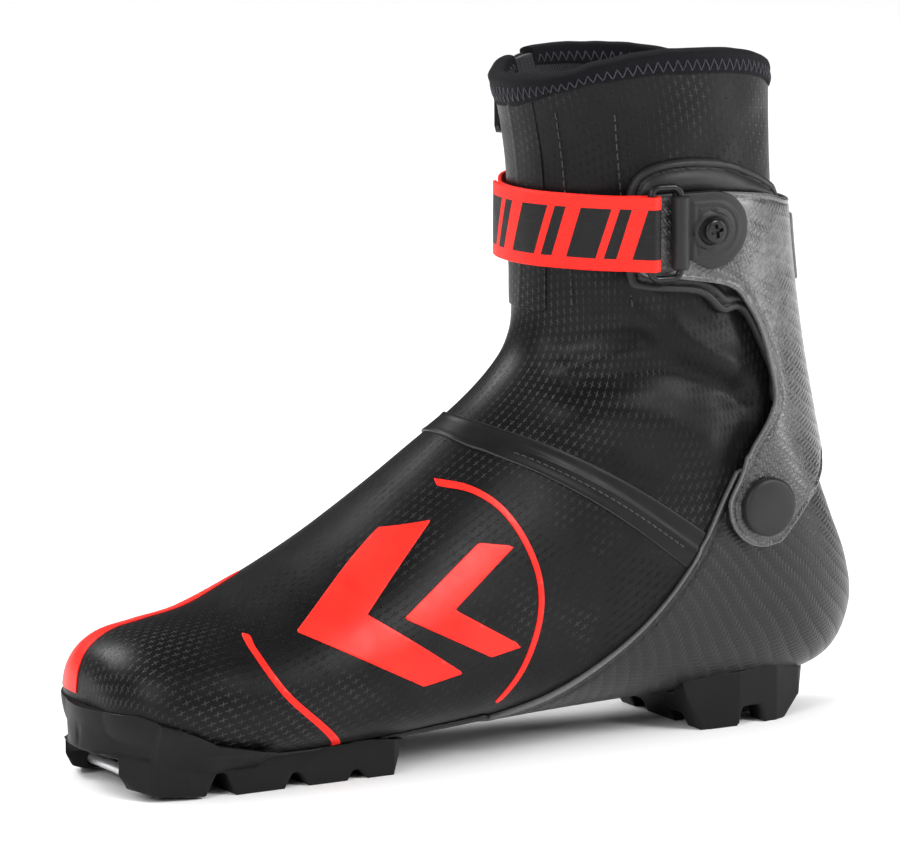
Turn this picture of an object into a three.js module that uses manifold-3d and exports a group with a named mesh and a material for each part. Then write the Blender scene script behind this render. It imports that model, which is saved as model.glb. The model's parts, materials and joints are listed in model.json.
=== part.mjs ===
// Cross country skating boot for the right foot: a soft zipped boot on a two-part sole, with a hinged cuff.
//
// Millimetres, +Z up. The toe points along -X, the inner side of the foot is -Y and the outer side is +Y.
// The origin is on the ground, straight below the cuff's pivot axis, on the heel block's centre rib.
//
// Everything that follows the foot is cut from one lofted form, the last: the skin between two offsets of
// it is trimmed by outlines drawn in the side view. Offset 0 is the outer face of the fabric upper.

import * as THREE from "three";
import { mergeVertices } from "three/addons/utils/BufferGeometryUtils.js";
import Module from "manifold-3d";

const wasm = await Module();
wasm.setup();

// ---------------------------------------------------------------- driving dimensions
const bootLength = 290; // toe to heel of the upper
const bootHeight = 231; // ground to the top of the collar
const ballWidth = 96.5; // across the ball of the foot
const fit = 0.3; // gap left between pieces that touch

const fabricThickness = 1.2;
const linerThickness = 3;
const trimThickness = 0.7; // tapes and strips bonded to the fabric
const stripeThickness = 0.4;
const plateThickness = 1.3; // stiff plate under the forefoot
const counterThickness = 1.8; // heel shell
const cuffThickness = 2;
const cuffStandOff = 4; // from the fabric to the inside of the cuff
const footbedThickness = 5;
const gussetThickness = 2.5;

const pivotPostRadius = 4;
const pivotCapRadius = 10;
const pivotCapThickness = 3;
const pivotFlangeRadius = 7.5;
const pivotFlangeThickness = 1.1;
const pivotLobeRadius = 14; // end of each cuff leg, round its pivot

const strapWidth = 25;
const strapThickness = 1.4;
const ringWireRadius = 1.2;
const ringReach = 10.5; // between the ring's two long bars
const ringHeight = 33;
const ringCorner = 2.5;
const tabHeight = 26.6;
const tabThickness = 2.4;
const screwRadius = 2;
const screwHeadRadius = 4;
const nutRadius = 6.5;
const nutThickness = 1.5;

const zipCoilWidth = 2.6;
const zipTapeWidth = 2.8;
const pullLength = 19;

const soleHalfWidth = 32;
const heelHalfWidth = 27;
const grooveSpacing = 26; // between the two guide grooves of the sole
const grooveWidth = 8;
const grooveDepth = 4.5;
const barRadius = 2;
const barLength = 46;
const barHeight = 5.5;
const recessWidth = 38;
const recessHeight = 11;

const insoleHeight = 15.5; // the board's edge above the ground
const barrelWall = 1.3; // round the ring's pin, past its gap
const bossRadius = 7; // under the tab's screw head
const bossHeight = 1;
const screwHeadHeight = 1.8;
const screwSlotWidth = 1;
const anchorRadius = 10;
const anchorThickness = 1.8;
const rearPlateThickness = 2;
const rearPlateHalf = 16;
const bindingHeight = 8;
const seamTapeWidth = 11;
const rearStripHalf = 8;
const shinStripHalf = 12;
const heelTreadHeight = 25;

const lastRings = 23; // facets of the last, along it and round it
const lastTurns = 18;
const far = 90; // past either side of the boot

// ---------------------------------------------------------------- the last
const drawnLength = 290; // the sections and outlines below are drawn at these sizes
const drawnHeight = 231;
const drawnWidth = 96.5;
const lengthScale = bootLength / drawnLength;
const heightScale = bootHeight / drawnHeight;
const widthScale = ballWidth / drawnWidth;
const pivotHeight = 79 * heightScale;
const strapHeight = 174.5 * heightScale; // middle of the strap

// Sections from the toe, back under the instep, round the heel and up the leg to above the collar.
// Each is a line in the side view with a half width to either side of it:
// top x, top z, bottom x, bottom z, inner half, outer half, where it is widest, squareness above and below.
const sections = [
  [-235, 30, -235, 30, 0, 0, 0.5, 2, 2],
  [-234, 39, -234, 19.5, 15, 15, 0.5, 2.1, 2.2],
  [-230, 46, -229, 13, 25, 25, 0.47, 2.2, 2.4],
  [-221, 51, -221, 10.5, 33, 33, 0.44, 2.2, 2.6],
  [-207, 53, -208, 10, 38.5, 39.5, 0.42, 2.2, 2.8],
  [-188, 56, -190, 9.5, 42.5, 45, 0.4, 2.15, 2.8],
  [-166, 65, -168, 9.5, 45, 49, 0.36, 2.1, 2.8],
  [-144, 77, -143, 10, 45, 51, 0.34, 2, 2.8],
  [-122, 92, -115, 11, 43, 50, 0.33, 1.95, 2.8],
  [-103, 106, -82, 12, 40, 46, 0.34, 1.95, 2.7],
  [-90, 115.5, -47, 12.5, 38, 41, 0.38, 2, 2.6],
  [-81, 123.5, -10, 13, 38, 39, 0.42, 2.05, 2.6],
  [-75, 131, 22, 13.5, 38, 38.5, 0.45, 2.1, 2.5],
  [-72, 138, 43, 19, 38, 38.5, 0.47, 2.15, 2.5],
  [-70.5, 145, 51.5, 33, 38, 38.5, 0.48, 2.15, 2.5],
  [-70, 152, 50, 48, 38, 38.5, 0.48, 2.15, 2.5],
  [-69.7, 160, 43.5, 64, 38, 38.5, 0.48, 2.15, 2.5],
  [-69.7, 168, 37, 82, 38, 38.5, 0.49, 2.15, 2.4],
  [-70, 177, 32, 103, 37.5, 37.5, 0.49, 2.15, 2.4],
  [-70.5, 187, 28, 126, 37, 37, 0.5, 2.1, 2.3],
  [-71.5, 198, 24.5, 152, 37, 37, 0.5, 2.1, 2.2],
  [-73.5, 210, 22, 178, 37.5, 37.5, 0.5, 2.05, 2.15],
  [-76, 220, 21, 200, 39, 39, 0.5, 2, 2.1],
  [-79, 228, 21, 217, 40, 40, 0.5, 2, 2],
  [-84, 246, 21, 238, 42, 42, 0.5, 2, 2],
];
const columns = sections[0].map(
  (_, column) => new THREE.SplineCurve(sections.map((row, i) => new THREE.Vector2(i, row[column]))),
);

// A point of the last: along runs from 0 at the toe to 1 above the collar, round from the top line down the
// inner side, under the sole and up the outer side.
function lastPoint(along, round) {
  const values = columns.map((curve) => curve.getPoint(along).y);
  const [topX, topZ, lowX, lowZ, inner, outer, widest, squareTop, squareLow] = values;
  const up = Math.cos(2 * Math.PI * round);
  const across = Math.sin(2 * Math.PI * round);
  const power = 2 / (up > 0 ? squareTop : squareLow);
  const reach = up > 0 ? 1 - widest : widest;
  const height = widest + Math.sign(up) * reach * Math.abs(up) ** power;
  const half = Math.max(across > 0 ? inner : outer, 0);
  return new THREE.Vector3(
    (lowX + (topX - lowX) * height) * lengthScale,
    -Math.sign(across) * half * Math.abs(across) ** power * widthScale,
    (lowZ + (topZ - lowZ) * height) * heightScale,
  );
}

function lastNormal(along, round) {
  if (along < 1e-6) return new THREE.Vector3(-1, 0, 0);
  const step = 0.006;
  const ahead = lastPoint(Math.min(along + step, 1), round);
  const lengthwise = ahead.sub(lastPoint(Math.max(along - step, 1e-4), round));
  const crosswise = lastPoint(along, round + step).sub(lastPoint(along, round - step));
  return crosswise.cross(lengthwise).normalize();
}

const offsetPoint = (along, round, offset) =>
  lastPoint(along, round).addScaledVector(lastNormal(along, round), offset);

function lastGeometry(offset) {
  const positions = [...offsetPoint(0, 0, offset)];
  const index = [];
  const at = (ring, turn) => 1 + (ring - 1) * lastTurns + (turn % lastTurns);
  for (let ring = 1; ring <= lastRings; ring++)
    for (let turn = 0; turn < lastTurns; turn++)
      positions.push(...offsetPoint(ring / lastRings, turn / lastTurns, offset));
  const end = positions.length / 3;
  positions.push(...lastPoint(1, 0).add(lastPoint(1, 0.5)).multiplyScalar(0.5));
  for (let turn = 0; turn < lastTurns; turn++) {
    index.push(0, at(1, turn), at(1, turn + 1));
    for (let ring = 1; ring < lastRings; ring++) {
      index.push(at(ring, turn), at(ring + 1, turn), at(ring, turn + 1));
      index.push(at(ring, turn + 1), at(ring + 1, turn), at(ring + 1, turn + 1));
    }
    index.push(at(lastRings, turn), end, at(lastRings, turn + 1));
  }
  const geometry = new THREE.BufferGeometry();
  geometry.setAttribute("position", new THREE.Float32BufferAttribute(positions, 3));
  geometry.setIndex(index);
  return geometry;
}

const inner = -1; // the sides of the boot, as signs of y
const outer = 1;

// The point of the last that shows at (x, z) in the side view, with its normal.
function surfaceAt(x, z, side) {
  const from = side === inner ? 0 : 0.5;
  let best = { gap: Infinity, along: 0.6, round: from + 0.25 };
  for (let reach = 0.4; reach > 1e-4; reach /= 3) {
    const centre = { ...best };
    for (let i = -8; i <= 8; i++)
      for (let j = -8; j <= 8; j++) {
        const along = THREE.MathUtils.clamp(centre.along + (reach * i) / 8, 0.01, 1);
        const round = THREE.MathUtils.clamp(centre.round + (reach * j) / 8, from, from + 0.5);
        const p = lastPoint(along, round);
        const gap = Math.hypot(p.x - x, p.z - z);
        if (gap < best.gap) best = { gap, along, round };
      }
  }
  return { point: lastPoint(best.along, best.round), normal: lastNormal(best.along, best.round) };
}

// ---------------------------------------------------------------- solids
function solid(geometry) {
  const bare = geometry.clone();
  bare.deleteAttribute("normal");
  bare.deleteAttribute("uv");
  const merged = mergeVertices(bare, 1e-4);
  const vertProperties = new Float32Array(merged.attributes.position.array);
  const triVerts = new Uint32Array(merged.index.array);
  const made = new wasm.Manifold(new wasm.Mesh({ numProp: 3, vertProperties, triVerts }));
  if (made.volume() > 0) return made;
  return new wasm.Manifold(new wasm.Mesh({ numProp: 3, vertProperties, triVerts: triVerts.reverse() }));
}

const lasts = new Map();
function last(offset) {
  if (!lasts.has(offset)) lasts.set(offset, solid(lastGeometry(offset)));
  return lasts.get(offset);
}
const skin = (low, high) => last(high).subtract(last(low));

const points2 = (pairs) => pairs.map(([x, y]) => new THREE.Vector2(x, y));

// Side-view points at the drawn size, scaled with the boot.
const drawn = (points) => points.map(([x, z]) => new THREE.Vector2(x * lengthScale, z * heightScale));

// A solid with the given outline in the side view, between two distances across the boot.
function prism(points, from = -far, to = far) {
  const settings = { depth: to - from, bevelEnabled: false };
  const geometry = new THREE.ExtrudeGeometry(new THREE.Shape(points), settings);
  return solid(geometry.rotateX(Math.PI / 2).translate(0, to, 0));
}

// A solid with the given outline seen from above, between two heights.
function plate(points, low, high) {
  const settings = { depth: high - low, bevelEnabled: false };
  return solid(new THREE.ExtrudeGeometry(new THREE.Shape(points), settings).translate(0, 0, low));
}

function block(x0, x1, y0, y1, z0, z1) {
  const geometry = new THREE.BoxGeometry(x1 - x0, y1 - y0, z1 - z0);
  return solid(geometry.translate((x0 + x1) / 2, (y0 + y1) / 2, (z0 + z1) / 2));
}

// A round solid about an axis across the boot at (x, z), from its radii at distances across.
function turned(x, z, profile, segments = 20) {
  const points = profile.map(([radius, y]) => new THREE.Vector2(radius, y));
  return solid(new THREE.LatheGeometry(points, segments).translate(x, 0, z));
}

const rod = (x, z, radius, y0, y1, segments) =>
  turned(x, z, [[0, y0], [radius, y0], [radius, y1], [0, y1]], segments);

// The same line moved sideways.
function shifted(points, distance) {
  return points.map((p, i) => {
    const next = points[Math.min(i + 1, points.length - 1)];
    const run = next.clone().sub(points[Math.max(i - 1, 0)]).normalize();
    return new THREE.Vector2(p.x - run.y * distance, p.y + run.x * distance);
  });
}
const ribbon = (points, width) => [...shifted(points, width / 2), ...shifted(points, -width / 2).reverse()];

const arc = (x, y, radius, from, to, steps) =>
  Array.from({ length: steps + 1 }, (_, i) => {
    const angle = from + ((to - from) * i) / steps;
    return new THREE.Vector2(x + radius * Math.cos(angle), y + radius * Math.sin(angle));
  });

const mirrored = (body, side) => (side === inner ? body.mirror([0, 1, 0]) : body);

// ---------------------------------------------------------------- lines that divide the upper
const rimLine = drawn([
  [-150, 222], [-79, 226.5], [-60, 230], [-40, 231], [-10, 227], [8, 222], [21, 217], [70, 208],
]);
const shaftLine = drawn([[-130, 181], [-78, 141], [-22, 99], [10, 99], [80, 104]]);
const seamLine = drawn([
  [-124, 130], [-101, 110], [-93, 106], [-79, 100], [-64, 92], [-48, 82], [-24, 65],
]);
const quarterLine = drawn([[-24, 65], [-12, 87], [15, 88.5], [80, 89]]);
const waistLine = drawn([[-24, 65], [-60, -10]]);
const kerfs = [shaftLine, seamLine, quarterLine, waistLine].map((line) => prism(ribbon(line, fit)));
const withoutKerfs = (body) => kerfs.reduce((left, kerf) => left.subtract(kerf), body);

function below(line, rise = 0) {
  const top = line.map((p) => p.clone().setY(p.y + rise));
  return prism([...top, ...drawn([[90, -20], [-260, -20], [-260, 200]])]);
}
const belowRim = below(rimLine);

// ---------------------------------------------------------------- zip down the outer side
const zipLine = drawn([
  [-51, 242], [-54, 222], [-58, 190], [-59, 168], [-61, 146], [-68, 124], [-84, 104], [-104, 86],
  [-128, 70],
]);
const zipWidth = zipCoilWidth + 2 * zipTapeWidth + 4 * fit;
const zipEnd = zipLine.at(-1).clone().sub(zipLine.at(-2)).setLength(fit).add(zipLine.at(-1));
const zipSlot = prism(ribbon([...zipLine, zipEnd], zipWidth), 0, far);

function zipStrip(shift, width, low, high) {
  const strip = prism(ribbon(shifted(zipLine, shift), width), 0, far);
  return skin(low, high).intersect(strip).intersect(belowRim);
}
const tapeShift = (zipCoilWidth + zipTapeWidth) / 2 + fit;

// The slider and its pull are made at (0, 0, 0), the zip running along y and z pointing out of the fabric.
const sliderTop = drawn([[-54.3, 219.5]])[0];
const sliderAim = drawn([[-57.8, 192]])[0]; // a lower point of the zip, which the slider points down to
const sliderSeat = surfaceAt(sliderTop.x, sliderTop.y, outer);
const sliderDown = surfaceAt(sliderAim.x, sliderAim.y, outer).point.sub(sliderSeat.point).normalize();

function onZip(geometry) {
  const lean = sliderSeat.normal.dot(sliderDown);
  const up = sliderSeat.normal.clone().addScaledVector(sliderDown, -lean).normalize();
  const across = sliderDown.clone().cross(up);
  const placed = new THREE.Matrix4().makeBasis(across, sliderDown, up).setPosition(sliderSeat.point);
  return solid(geometry.applyMatrix4(placed));
}
const sliderFloor = 1.3; // from the fabric to the slider's underside
const sliderThickness = 1.4;
const pinHeight = sliderFloor + sliderThickness + 1.9; // of the pull's pin above the fabric
const pinRadius = 0.6;
const cheekInside = 1.4; // from the slider's middle to its cheeks, which hold the pin
const cheekThickness = 1;
const pullHalfWidth = 2.4;
const pullNeckHalf = 1.05; // where the pull passes between the cheeks
const pullThickness = 1.8;

function slabOnZip(points, low, high) {
  const geometry = new THREE.ExtrudeGeometry(new THREE.Shape(points2(points)), {
    depth: high - low,
    bevelEnabled: false,
  });
  return onZip(geometry.translate(0, 0, low));
}

// A rod across the zip, about the line of the pull's pin.
function rodOnZip(radius, length, segments) {
  const geometry = new THREE.CylinderGeometry(radius, radius, length, segments);
  return onZip(geometry.rotateZ(Math.PI / 2).translate(0, 0, pinHeight));
}

function zipSlider() {
  const outline = [[-3.4, -4], [3.4, -4], [3.6, 0], [2.4, 5], [-2.4, 5], [-3.6, 0]];
  const slider = slabOnZip(outline, sliderFloor, sliderFloor + sliderThickness);
  const foot = sliderFloor + sliderThickness - 0.4;
  const cheek = (x) => {
    const side = x + cheekThickness;
    return slabOnZip([[x, -2.2], [side, -2.2], [side, 1.4], [x, 1.4]], foot, pinHeight + 2 * pinRadius);
  };
  const pin = rodOnZip(pinRadius, 2 * (cheekInside + cheekThickness) - 0.8, 8);
  return slider.add(cheek(-cheekInside - cheekThickness)).add(cheek(cheekInside)).add(pin);
}

function zipPull() {
  const wide = pullHalfWidth;
  const neck = pullNeckHalf;
  const end = pullLength;
  const outline = [
    [-neck, -1.4], [neck, -1.4], [neck, 3], [wide, 5], [wide, end - 2], [wide - 1, end],
    [1 - wide, end], [-wide, end - 2], [-wide, 5], [-neck, 3],
  ];
  const half = pullThickness / 2;
  const hole = rodOnZip(pinRadius + 0.25, 6, 8);
  const eye = rodOnZip(1.5, 2 * neck, 12);
  return slabOnZip(outline, pinHeight - half, pinHeight + half).add(eye).subtract(hole);
}

// ---------------------------------------------------------------- cuff pivots
const fabricInside = -fabricThickness;
const cuffOutside = cuffStandOff + cuffThickness;
const flangeSink = 1; // how far the flange lies under the fabric's inner face
const counterInside = fit;
const counterOutside = fit + counterThickness;

function pivotParts(side) {
  const face = Math.abs(surfaceAt(0, pivotHeight, side).point.y);
  const capFoot = face + cuffOutside + 2 * fit;
  const capTop = capFoot + pivotCapThickness;
  const flangeTop = face + fabricInside - fit - flangeSink;
  const flangeFoot = flangeTop - pivotFlangeThickness;
  const washerRadius = pivotCapRadius - 1;
  const about = (profile) => mirrored(turned(0, pivotHeight, profile), side);
  const room = about([
    [0, flangeFoot - 6],
    [pivotFlangeRadius + fit, flangeFoot - 6],
    [pivotFlangeRadius + fit, flangeTop + fit],
    [pivotPostRadius + fit, flangeTop + fit],
    [pivotPostRadius + fit, capTop + 5],
    [0, capTop + 5],
  ]);
  const cap = about([
    [0, capFoot],
    [pivotCapRadius - 0.6, capFoot],
    [pivotCapRadius, capFoot + 0.8],
    [pivotCapRadius * 0.85, capTop - 0.8],
    [pivotCapRadius * 0.5, capTop - 0.1],
    [0, capTop],
  ]);
  const post = about([
    [0, flangeFoot],
    [pivotFlangeRadius, flangeFoot],
    [pivotFlangeRadius, flangeTop],
    [pivotPostRadius, flangeTop],
    [pivotPostRadius, capFoot - fit],
    [0, capFoot - fit],
  ]);
  const ringSkin = skin(counterOutside + fit, cuffStandOff - fit);
  const disc = mirrored(rod(0, pivotHeight, washerRadius, 5, far), side);
  const washer = ringSkin.intersect(disc).subtract(room);
  return { room, cap, post, washer };
}
const pivots = { inner: pivotParts(inner), outer: pivotParts(outer) };
const clearOfPivots = (body) => body.subtract(pivots.inner.room).subtract(pivots.outer.room);

// ---------------------------------------------------------------- fabric upper
const upper = skin(fabricInside, 0).intersect(belowRim);

function forefootCover() {
  const outline = [...seamLine, waistLine[1], ...drawn([[-260, -10], [-260, 130]])];
  return withoutKerfs(upper.intersect(prism(outline))).subtract(zipSlot);
}

function heelQuarter() {
  const outline = [...quarterLine, ...drawn([[90, -10]]), waistLine[1]];
  return clearOfPivots(withoutKerfs(upper.intersect(prism(outline))));
}

function anklePanel() {
  const outline = [...seamLine, ...quarterLine.slice(1), ...shaftLine.toReversed()];
  return withoutKerfs(upper.intersect(prism(outline))).subtract(zipSlot);
}

function shaft() {
  const outline = [...shaftLine, ...drawn([[90, 260], [-130, 260]])];
  return withoutKerfs(upper.intersect(prism(outline))).subtract(zipSlot);
}

// ---------------------------------------------------------------- inside the upper
const linerOutside = fabricInside - fit;
const linerInside = linerOutside - linerThickness;
const boardEdge = insoleHeight * heightScale; // where the liner's lower edge meets the insole board
const footbedTop = boardEdge + footbedThickness;
const roomOffset = linerInside - fit;
const everyX = [-300 * lengthScale, 100 * lengthScale]; // past the toe and the heel
const top = 300 * heightScale; // above the collar

function liner() {
  const above = block(...everyX, -far, far, boardEdge + fit, top);
  return clearOfPivots(skin(linerInside, linerOutside).intersect(above).intersect(belowRim));
}

function insoleBoard() {
  return skin(linerInside, linerOutside).intersect(block(...everyX, -far, far, 0, boardEdge));
}

function footbed() {
  const front = -226 * lengthScale;
  return last(roomOffset).intersect(block(front, everyX[1], -far, far, 0, footbedTop));
}

function zipGusset() {
  const outline = drawn([[-90, 158], [-44, 158], [-40, 190], [-38, 213], [-95, 213]]);
  const fromMiddle = 2; // it stops short of the middle of the shin
  return skin(roomOffset - gussetThickness, roomOffset).intersect(prism(outline, fromMiddle, far));
}

// ---------------------------------------------------------------- stiff parts of the foot
const counterFront = drawn([[-97, 14.5], [-76, 22], [-53, 35], [-37, 48.4], [-24, 64], [-13, 84]]);
const counterOutline = [
  ...drawn([[90, -10], [-97, -10]]), ...counterFront, ...drawn([[-10, 91], [8, 92], [25, 88], [90, 86]]),
];

function heelCounter() {
  return clearOfPivots(skin(counterInside, counterOutside).intersect(prism(counterOutline)));
}

const plateOutside = fit + plateThickness;
const plateTop = 11.5; // edge of the sole plate above the ground
const plateFront = -224;

const plateBack = -97.5;
const plateEdge = drawn([[plateBack, 15], [-150, plateTop], [plateFront, plateTop]]);

function solePlate() {
  const outline = [...drawn([[plateFront, 0], [plateBack, 0]]), ...plateEdge];
  return skin(fit, plateOutside).intersect(prism(outline));
}

// The space that the sole plate takes, with its gap all round.
function plateRoom() {
  const edge = plateEdge.map((p) => new THREE.Vector2(p.x, p.y + fit));
  const back = edge[0];
  const front = new THREE.Vector2(edge[2].x - fit, edge[2].y);
  const ground = -9;
  const outline = [front.clone().setY(ground), back.clone().setY(ground), ...edge, front];
  return last(plateOutside + fit).intersect(prism(outline));
}

// ---------------------------------------------------------------- soles
const barX = -222 * lengthScale;
const recessBack = barX + 8.5; // the recess under the bar, and its roof over the bar
const recessRoof = [barX - 4, barX + 7];
const mouthRise = 8; // how much higher the recess is at its mouth
const treadTop = 14 * heightScale;
const bumperThickness = 0.8;
const treadFront = -237 * lengthScale;
const treadBack = -132 * lengthScale;

function withGrooves(body, from, to) {
  const groove = (y) => block(from, to, y - grooveWidth / 2, y + grooveWidth / 2, -1, grooveDepth);
  return body.subtract(groove(-grooveSpacing / 2)).subtract(groove(grooveSpacing / 2));
}

// Seen from the side: toe bumper, then four lugs with a notch before each of the last three.
const forefootTread = drawn([
  [-240, 31.5], [-237, 9], [-232, 3.4], [-226, 2], [-207, 0.6], [-203, 8], [-200, 8], [-196, 0],
  [-178, 0], [-175, 5], [-172.5, 5], [-169, 0], [-154.5, 0], [-152.5, 3.2], [-150, 3.2], [-147, 0],
  [-137, 0], [-132, 12], [-196, 17], [-206, 19.5], [-219, 25],
]);

// The tread seen from above, and the bumper round the toe.
function forefootBody() {
  const edge = soleHalfWidth;
  const outline = points2([
    [treadFront, -18], [treadFront + 8, 4 - edge], [treadFront + 24, -edge], [treadBack - 5, -edge],
    [treadBack, 3 - edge], [treadBack, edge], [treadBack - 5, edge + 2], [treadFront + 40, edge + 2],
    [treadFront + 8, edge - 3], [treadFront, 18],
  ]);
  const toe = block(everyX[0], -190 * lengthScale, -far, far, 6, 60);
  const bumper = last(plateOutside + 2 * fit + bumperThickness).intersect(toe);
  return plate(outline, -1, treadTop).add(bumper).intersect(prism(forefootTread));
}

// The hollow that the ski's binding reaches into, and the bar's seat in its walls.
function bindingRecess() {
  const half = recessWidth / 2;
  const front = treadFront - 20;
  const [roofFront, roofBack] = recessRoof;
  const mouth = points2([
    [front, -1], [roofBack, -1], [roofBack, recessHeight], [roofFront, recessHeight],
    [front, recessHeight + mouthRise],
  ]);
  const barHalf = barLength / 2 + fit;
  return block(front, recessBack, -half, half, -1, recessHeight - 1)
    .add(prism(mouth, -half, half))
    .add(rod(barX, barHeight, barRadius + fit, -barHalf, barHalf, 12));
}

const bindingBar = () => rod(barX, barHeight, barRadius, -barLength / 2, barLength / 2, 12);

function forefootSole() {
  const upperRoom = last(1.2 * fit).add(plateRoom());
  const body = forefootBody().subtract(upperRoom).subtract(bindingRecess());
  return withGrooves(body, recessBack - 1, treadBack + 10);
}

function heelSole() {
  const edge = heelHalfWidth;
  const outline = points2([
    [-22, 1 - edge], [0, -edge], [14, 2 - edge], [25, 8 - edge], [32, -8], [32, 8], [25, edge - 8],
    [14, edge - 2], [0, edge], [-22, edge - 1],
  ]);
  const tread = drawn([[-23, 21], [-20, 11], [-14, 0], [18, 0], [32, 13], [34, 22]]);
  const notch = prism(drawn([[-0.5, -1], [1.5, 6.5], [7.5, 6.5], [9.5, -1]]));
  const ribHalf = (grooveSpacing - grooveWidth) / 2;
  const rib = block(-60, 60, -ribHalf, ribHalf, -5, 20);
  const tower = plate(outline, -1, heelTreadHeight).intersect(prism(tread));
  const body = tower.subtract(last(counterOutside + fit)).subtract(notch.subtract(rib));
  return withGrooves(body, -60, 60);
}

// ---------------------------------------------------------------- strap, ring and tab
// A point over the leg at strap height, seen from above: round as on the last, offset out from the fabric.
function legPoint(round, offset) {
  let low = 0.55;
  let high = 1;
  for (let i = 0; i < 24; i++) {
    const middle = (low + high) / 2;
    if (lastPoint(middle, round).z < strapHeight) low = middle;
    else high = middle;
  }
  const point = lastPoint(low, round);
  const normal = lastNormal(low, round);
  const out = new THREE.Vector2(normal.x, normal.y).normalize();
  return new THREE.Vector2(point.x, point.y).addScaledVector(out, offset);
}

// Where round the leg a point at this offset lies at x along the boot.
function roundAt(x, side, offset) {
  let front = side === inner ? 0 : 1;
  let rear = 0.5;
  for (let i = 0; i < 24; i++) {
    const middle = (front + rear) / 2;
    if (legPoint(middle, offset).x < x) front = middle;
    else rear = middle;
  }
  return front;
}
const overLeg = (x, side, offset) => legPoint(roundAt(x, side, offset), offset);

const screwX = -23.5 * lengthScale;
const hingeX = screwX - 12;
const barrelRadius = ringWireRadius + fit + barrelWall;
const tabUnderside = cuffOutside + fit;
const strapClearance = 0.8; // between the ring's wire and the strap's fold
const foldRadius = ringWireRadius + strapClearance + strapThickness / 2;
const hinge = overLeg(hingeX, inner, tabUnderside + barrelRadius);
const ringBar = overLeg(hingeX - ringReach, inner, tabUnderside + fit + foldRadius + strapThickness / 2);

// A closed tube along a closed flat path, with a round section.
function loop(path, radius, sides) {
  const positions = [];
  const index = [];
  const count = path.length;
  const across = path[Math.floor(count / 2)].clone().sub(path[0]);
  const flat = path[1].clone().sub(path[0]).cross(across).normalize();
  path.forEach((p, i) => {
    const run = path[(i + 1) % count].clone().sub(path[(i + count - 1) % count]).normalize();
    const out = run.clone().cross(flat);
    for (let k = 0; k < sides; k++) {
      const angle = (2 * Math.PI * k) / sides;
      const reach = out.clone().multiplyScalar(radius * Math.cos(angle));
      positions.push(...reach.addScaledVector(flat, radius * Math.sin(angle)).add(p));
      const next = ((i + 1) % count) * sides;
      const turn = (k + 1) % sides;
      index.push(i * sides + k, next + k, i * sides + turn);
      index.push(i * sides + turn, next + k, next + turn);
    }
  });
  const geometry = new THREE.BufferGeometry();
  geometry.setAttribute("position", new THREE.Float32BufferAttribute(positions, 3));
  geometry.setIndex(index);
  return solid(geometry);
}

function strapRing() {
  const corner = ringCorner;
  const halfHeight = ringHeight / 2 - ringWireRadius;
  const reach = hinge.distanceTo(ringBar);
  const quarter = Math.PI / 2;
  const bend = (u, v, from) => arc(u, v, corner, from * quarter, (from - 1) * quarter, 4);
  const high = halfHeight - corner;
  const outline = [
    ...bend(corner, -high, 3), ...bend(corner, high, 2), ...bend(reach - corner, high, 1),
    ...bend(reach - corner, -high, 0),
  ];
  const toBar = ringBar.clone().sub(hinge).normalize();
  const path = outline.map(
    ({ x, y }) => new THREE.Vector3(hinge.x + toBar.x * x, hinge.y + toBar.y * x, strapHeight + y),
  );
  return loop(path, ringWireRadius, 8);
}

const screwSurface = (side) => Math.abs(surfaceAt(screwX, strapHeight, side).point.y);
const screwHoles = [inner, outer].map((side) =>
  mirrored(rod(screwX, strapHeight, screwRadius + fit, 10, far, 12), side),
);
const nutRooms = [inner, outer].map((side) => {
  const surface = screwSurface(side);
  return mirrored(rod(screwX, strapHeight, nutRadius + fit, surface - 10, surface + cuffStandOff), side);
});

function screwNut(side) {
  const high = screwSurface(side) + cuffStandOff - fit;
  const low = high - nutThickness;
  const hole = screwRadius + fit;
  const profile = [[hole, low], [nutRadius, low], [nutRadius, high], [hole, high], [hole, low]];
  return mirrored(turned(screwX, strapHeight, profile), side);
}

function screw(side, seat) {
  const foot = screwSurface(side) + cuffStandOff - fit - nutThickness;
  const head = screwSurface(side) + seat;
  const crown = head + screwHeadHeight;
  const body = turned(screwX, strapHeight, [
    [0, foot], [screwRadius, foot], [screwRadius, head], [screwHeadRadius, head],
    [screwHeadRadius, crown - 0.7], [screwHeadRadius - 0.9, crown], [0, crown],
  ]);
  const slotHalf = screwHeadRadius / 2 + 0.1;
  const slot = (x, z) =>
    block(screwX - x, screwX + x, crown - 1, crown + 1, strapHeight - z, strapHeight + z);
  const across = slot(slotHalf, screwSlotWidth / 2).add(slot(screwSlotWidth / 2, slotHalf));
  return mirrored(body.subtract(across), side);
}

// An upright round bar about the ring's hinge.
function hingeRod(radius, half) {
  const geometry = new THREE.CylinderGeometry(radius, radius, 2 * half, 16);
  return solid(geometry.rotateX(Math.PI / 2).translate(hinge.x, hinge.y, strapHeight));
}

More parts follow.
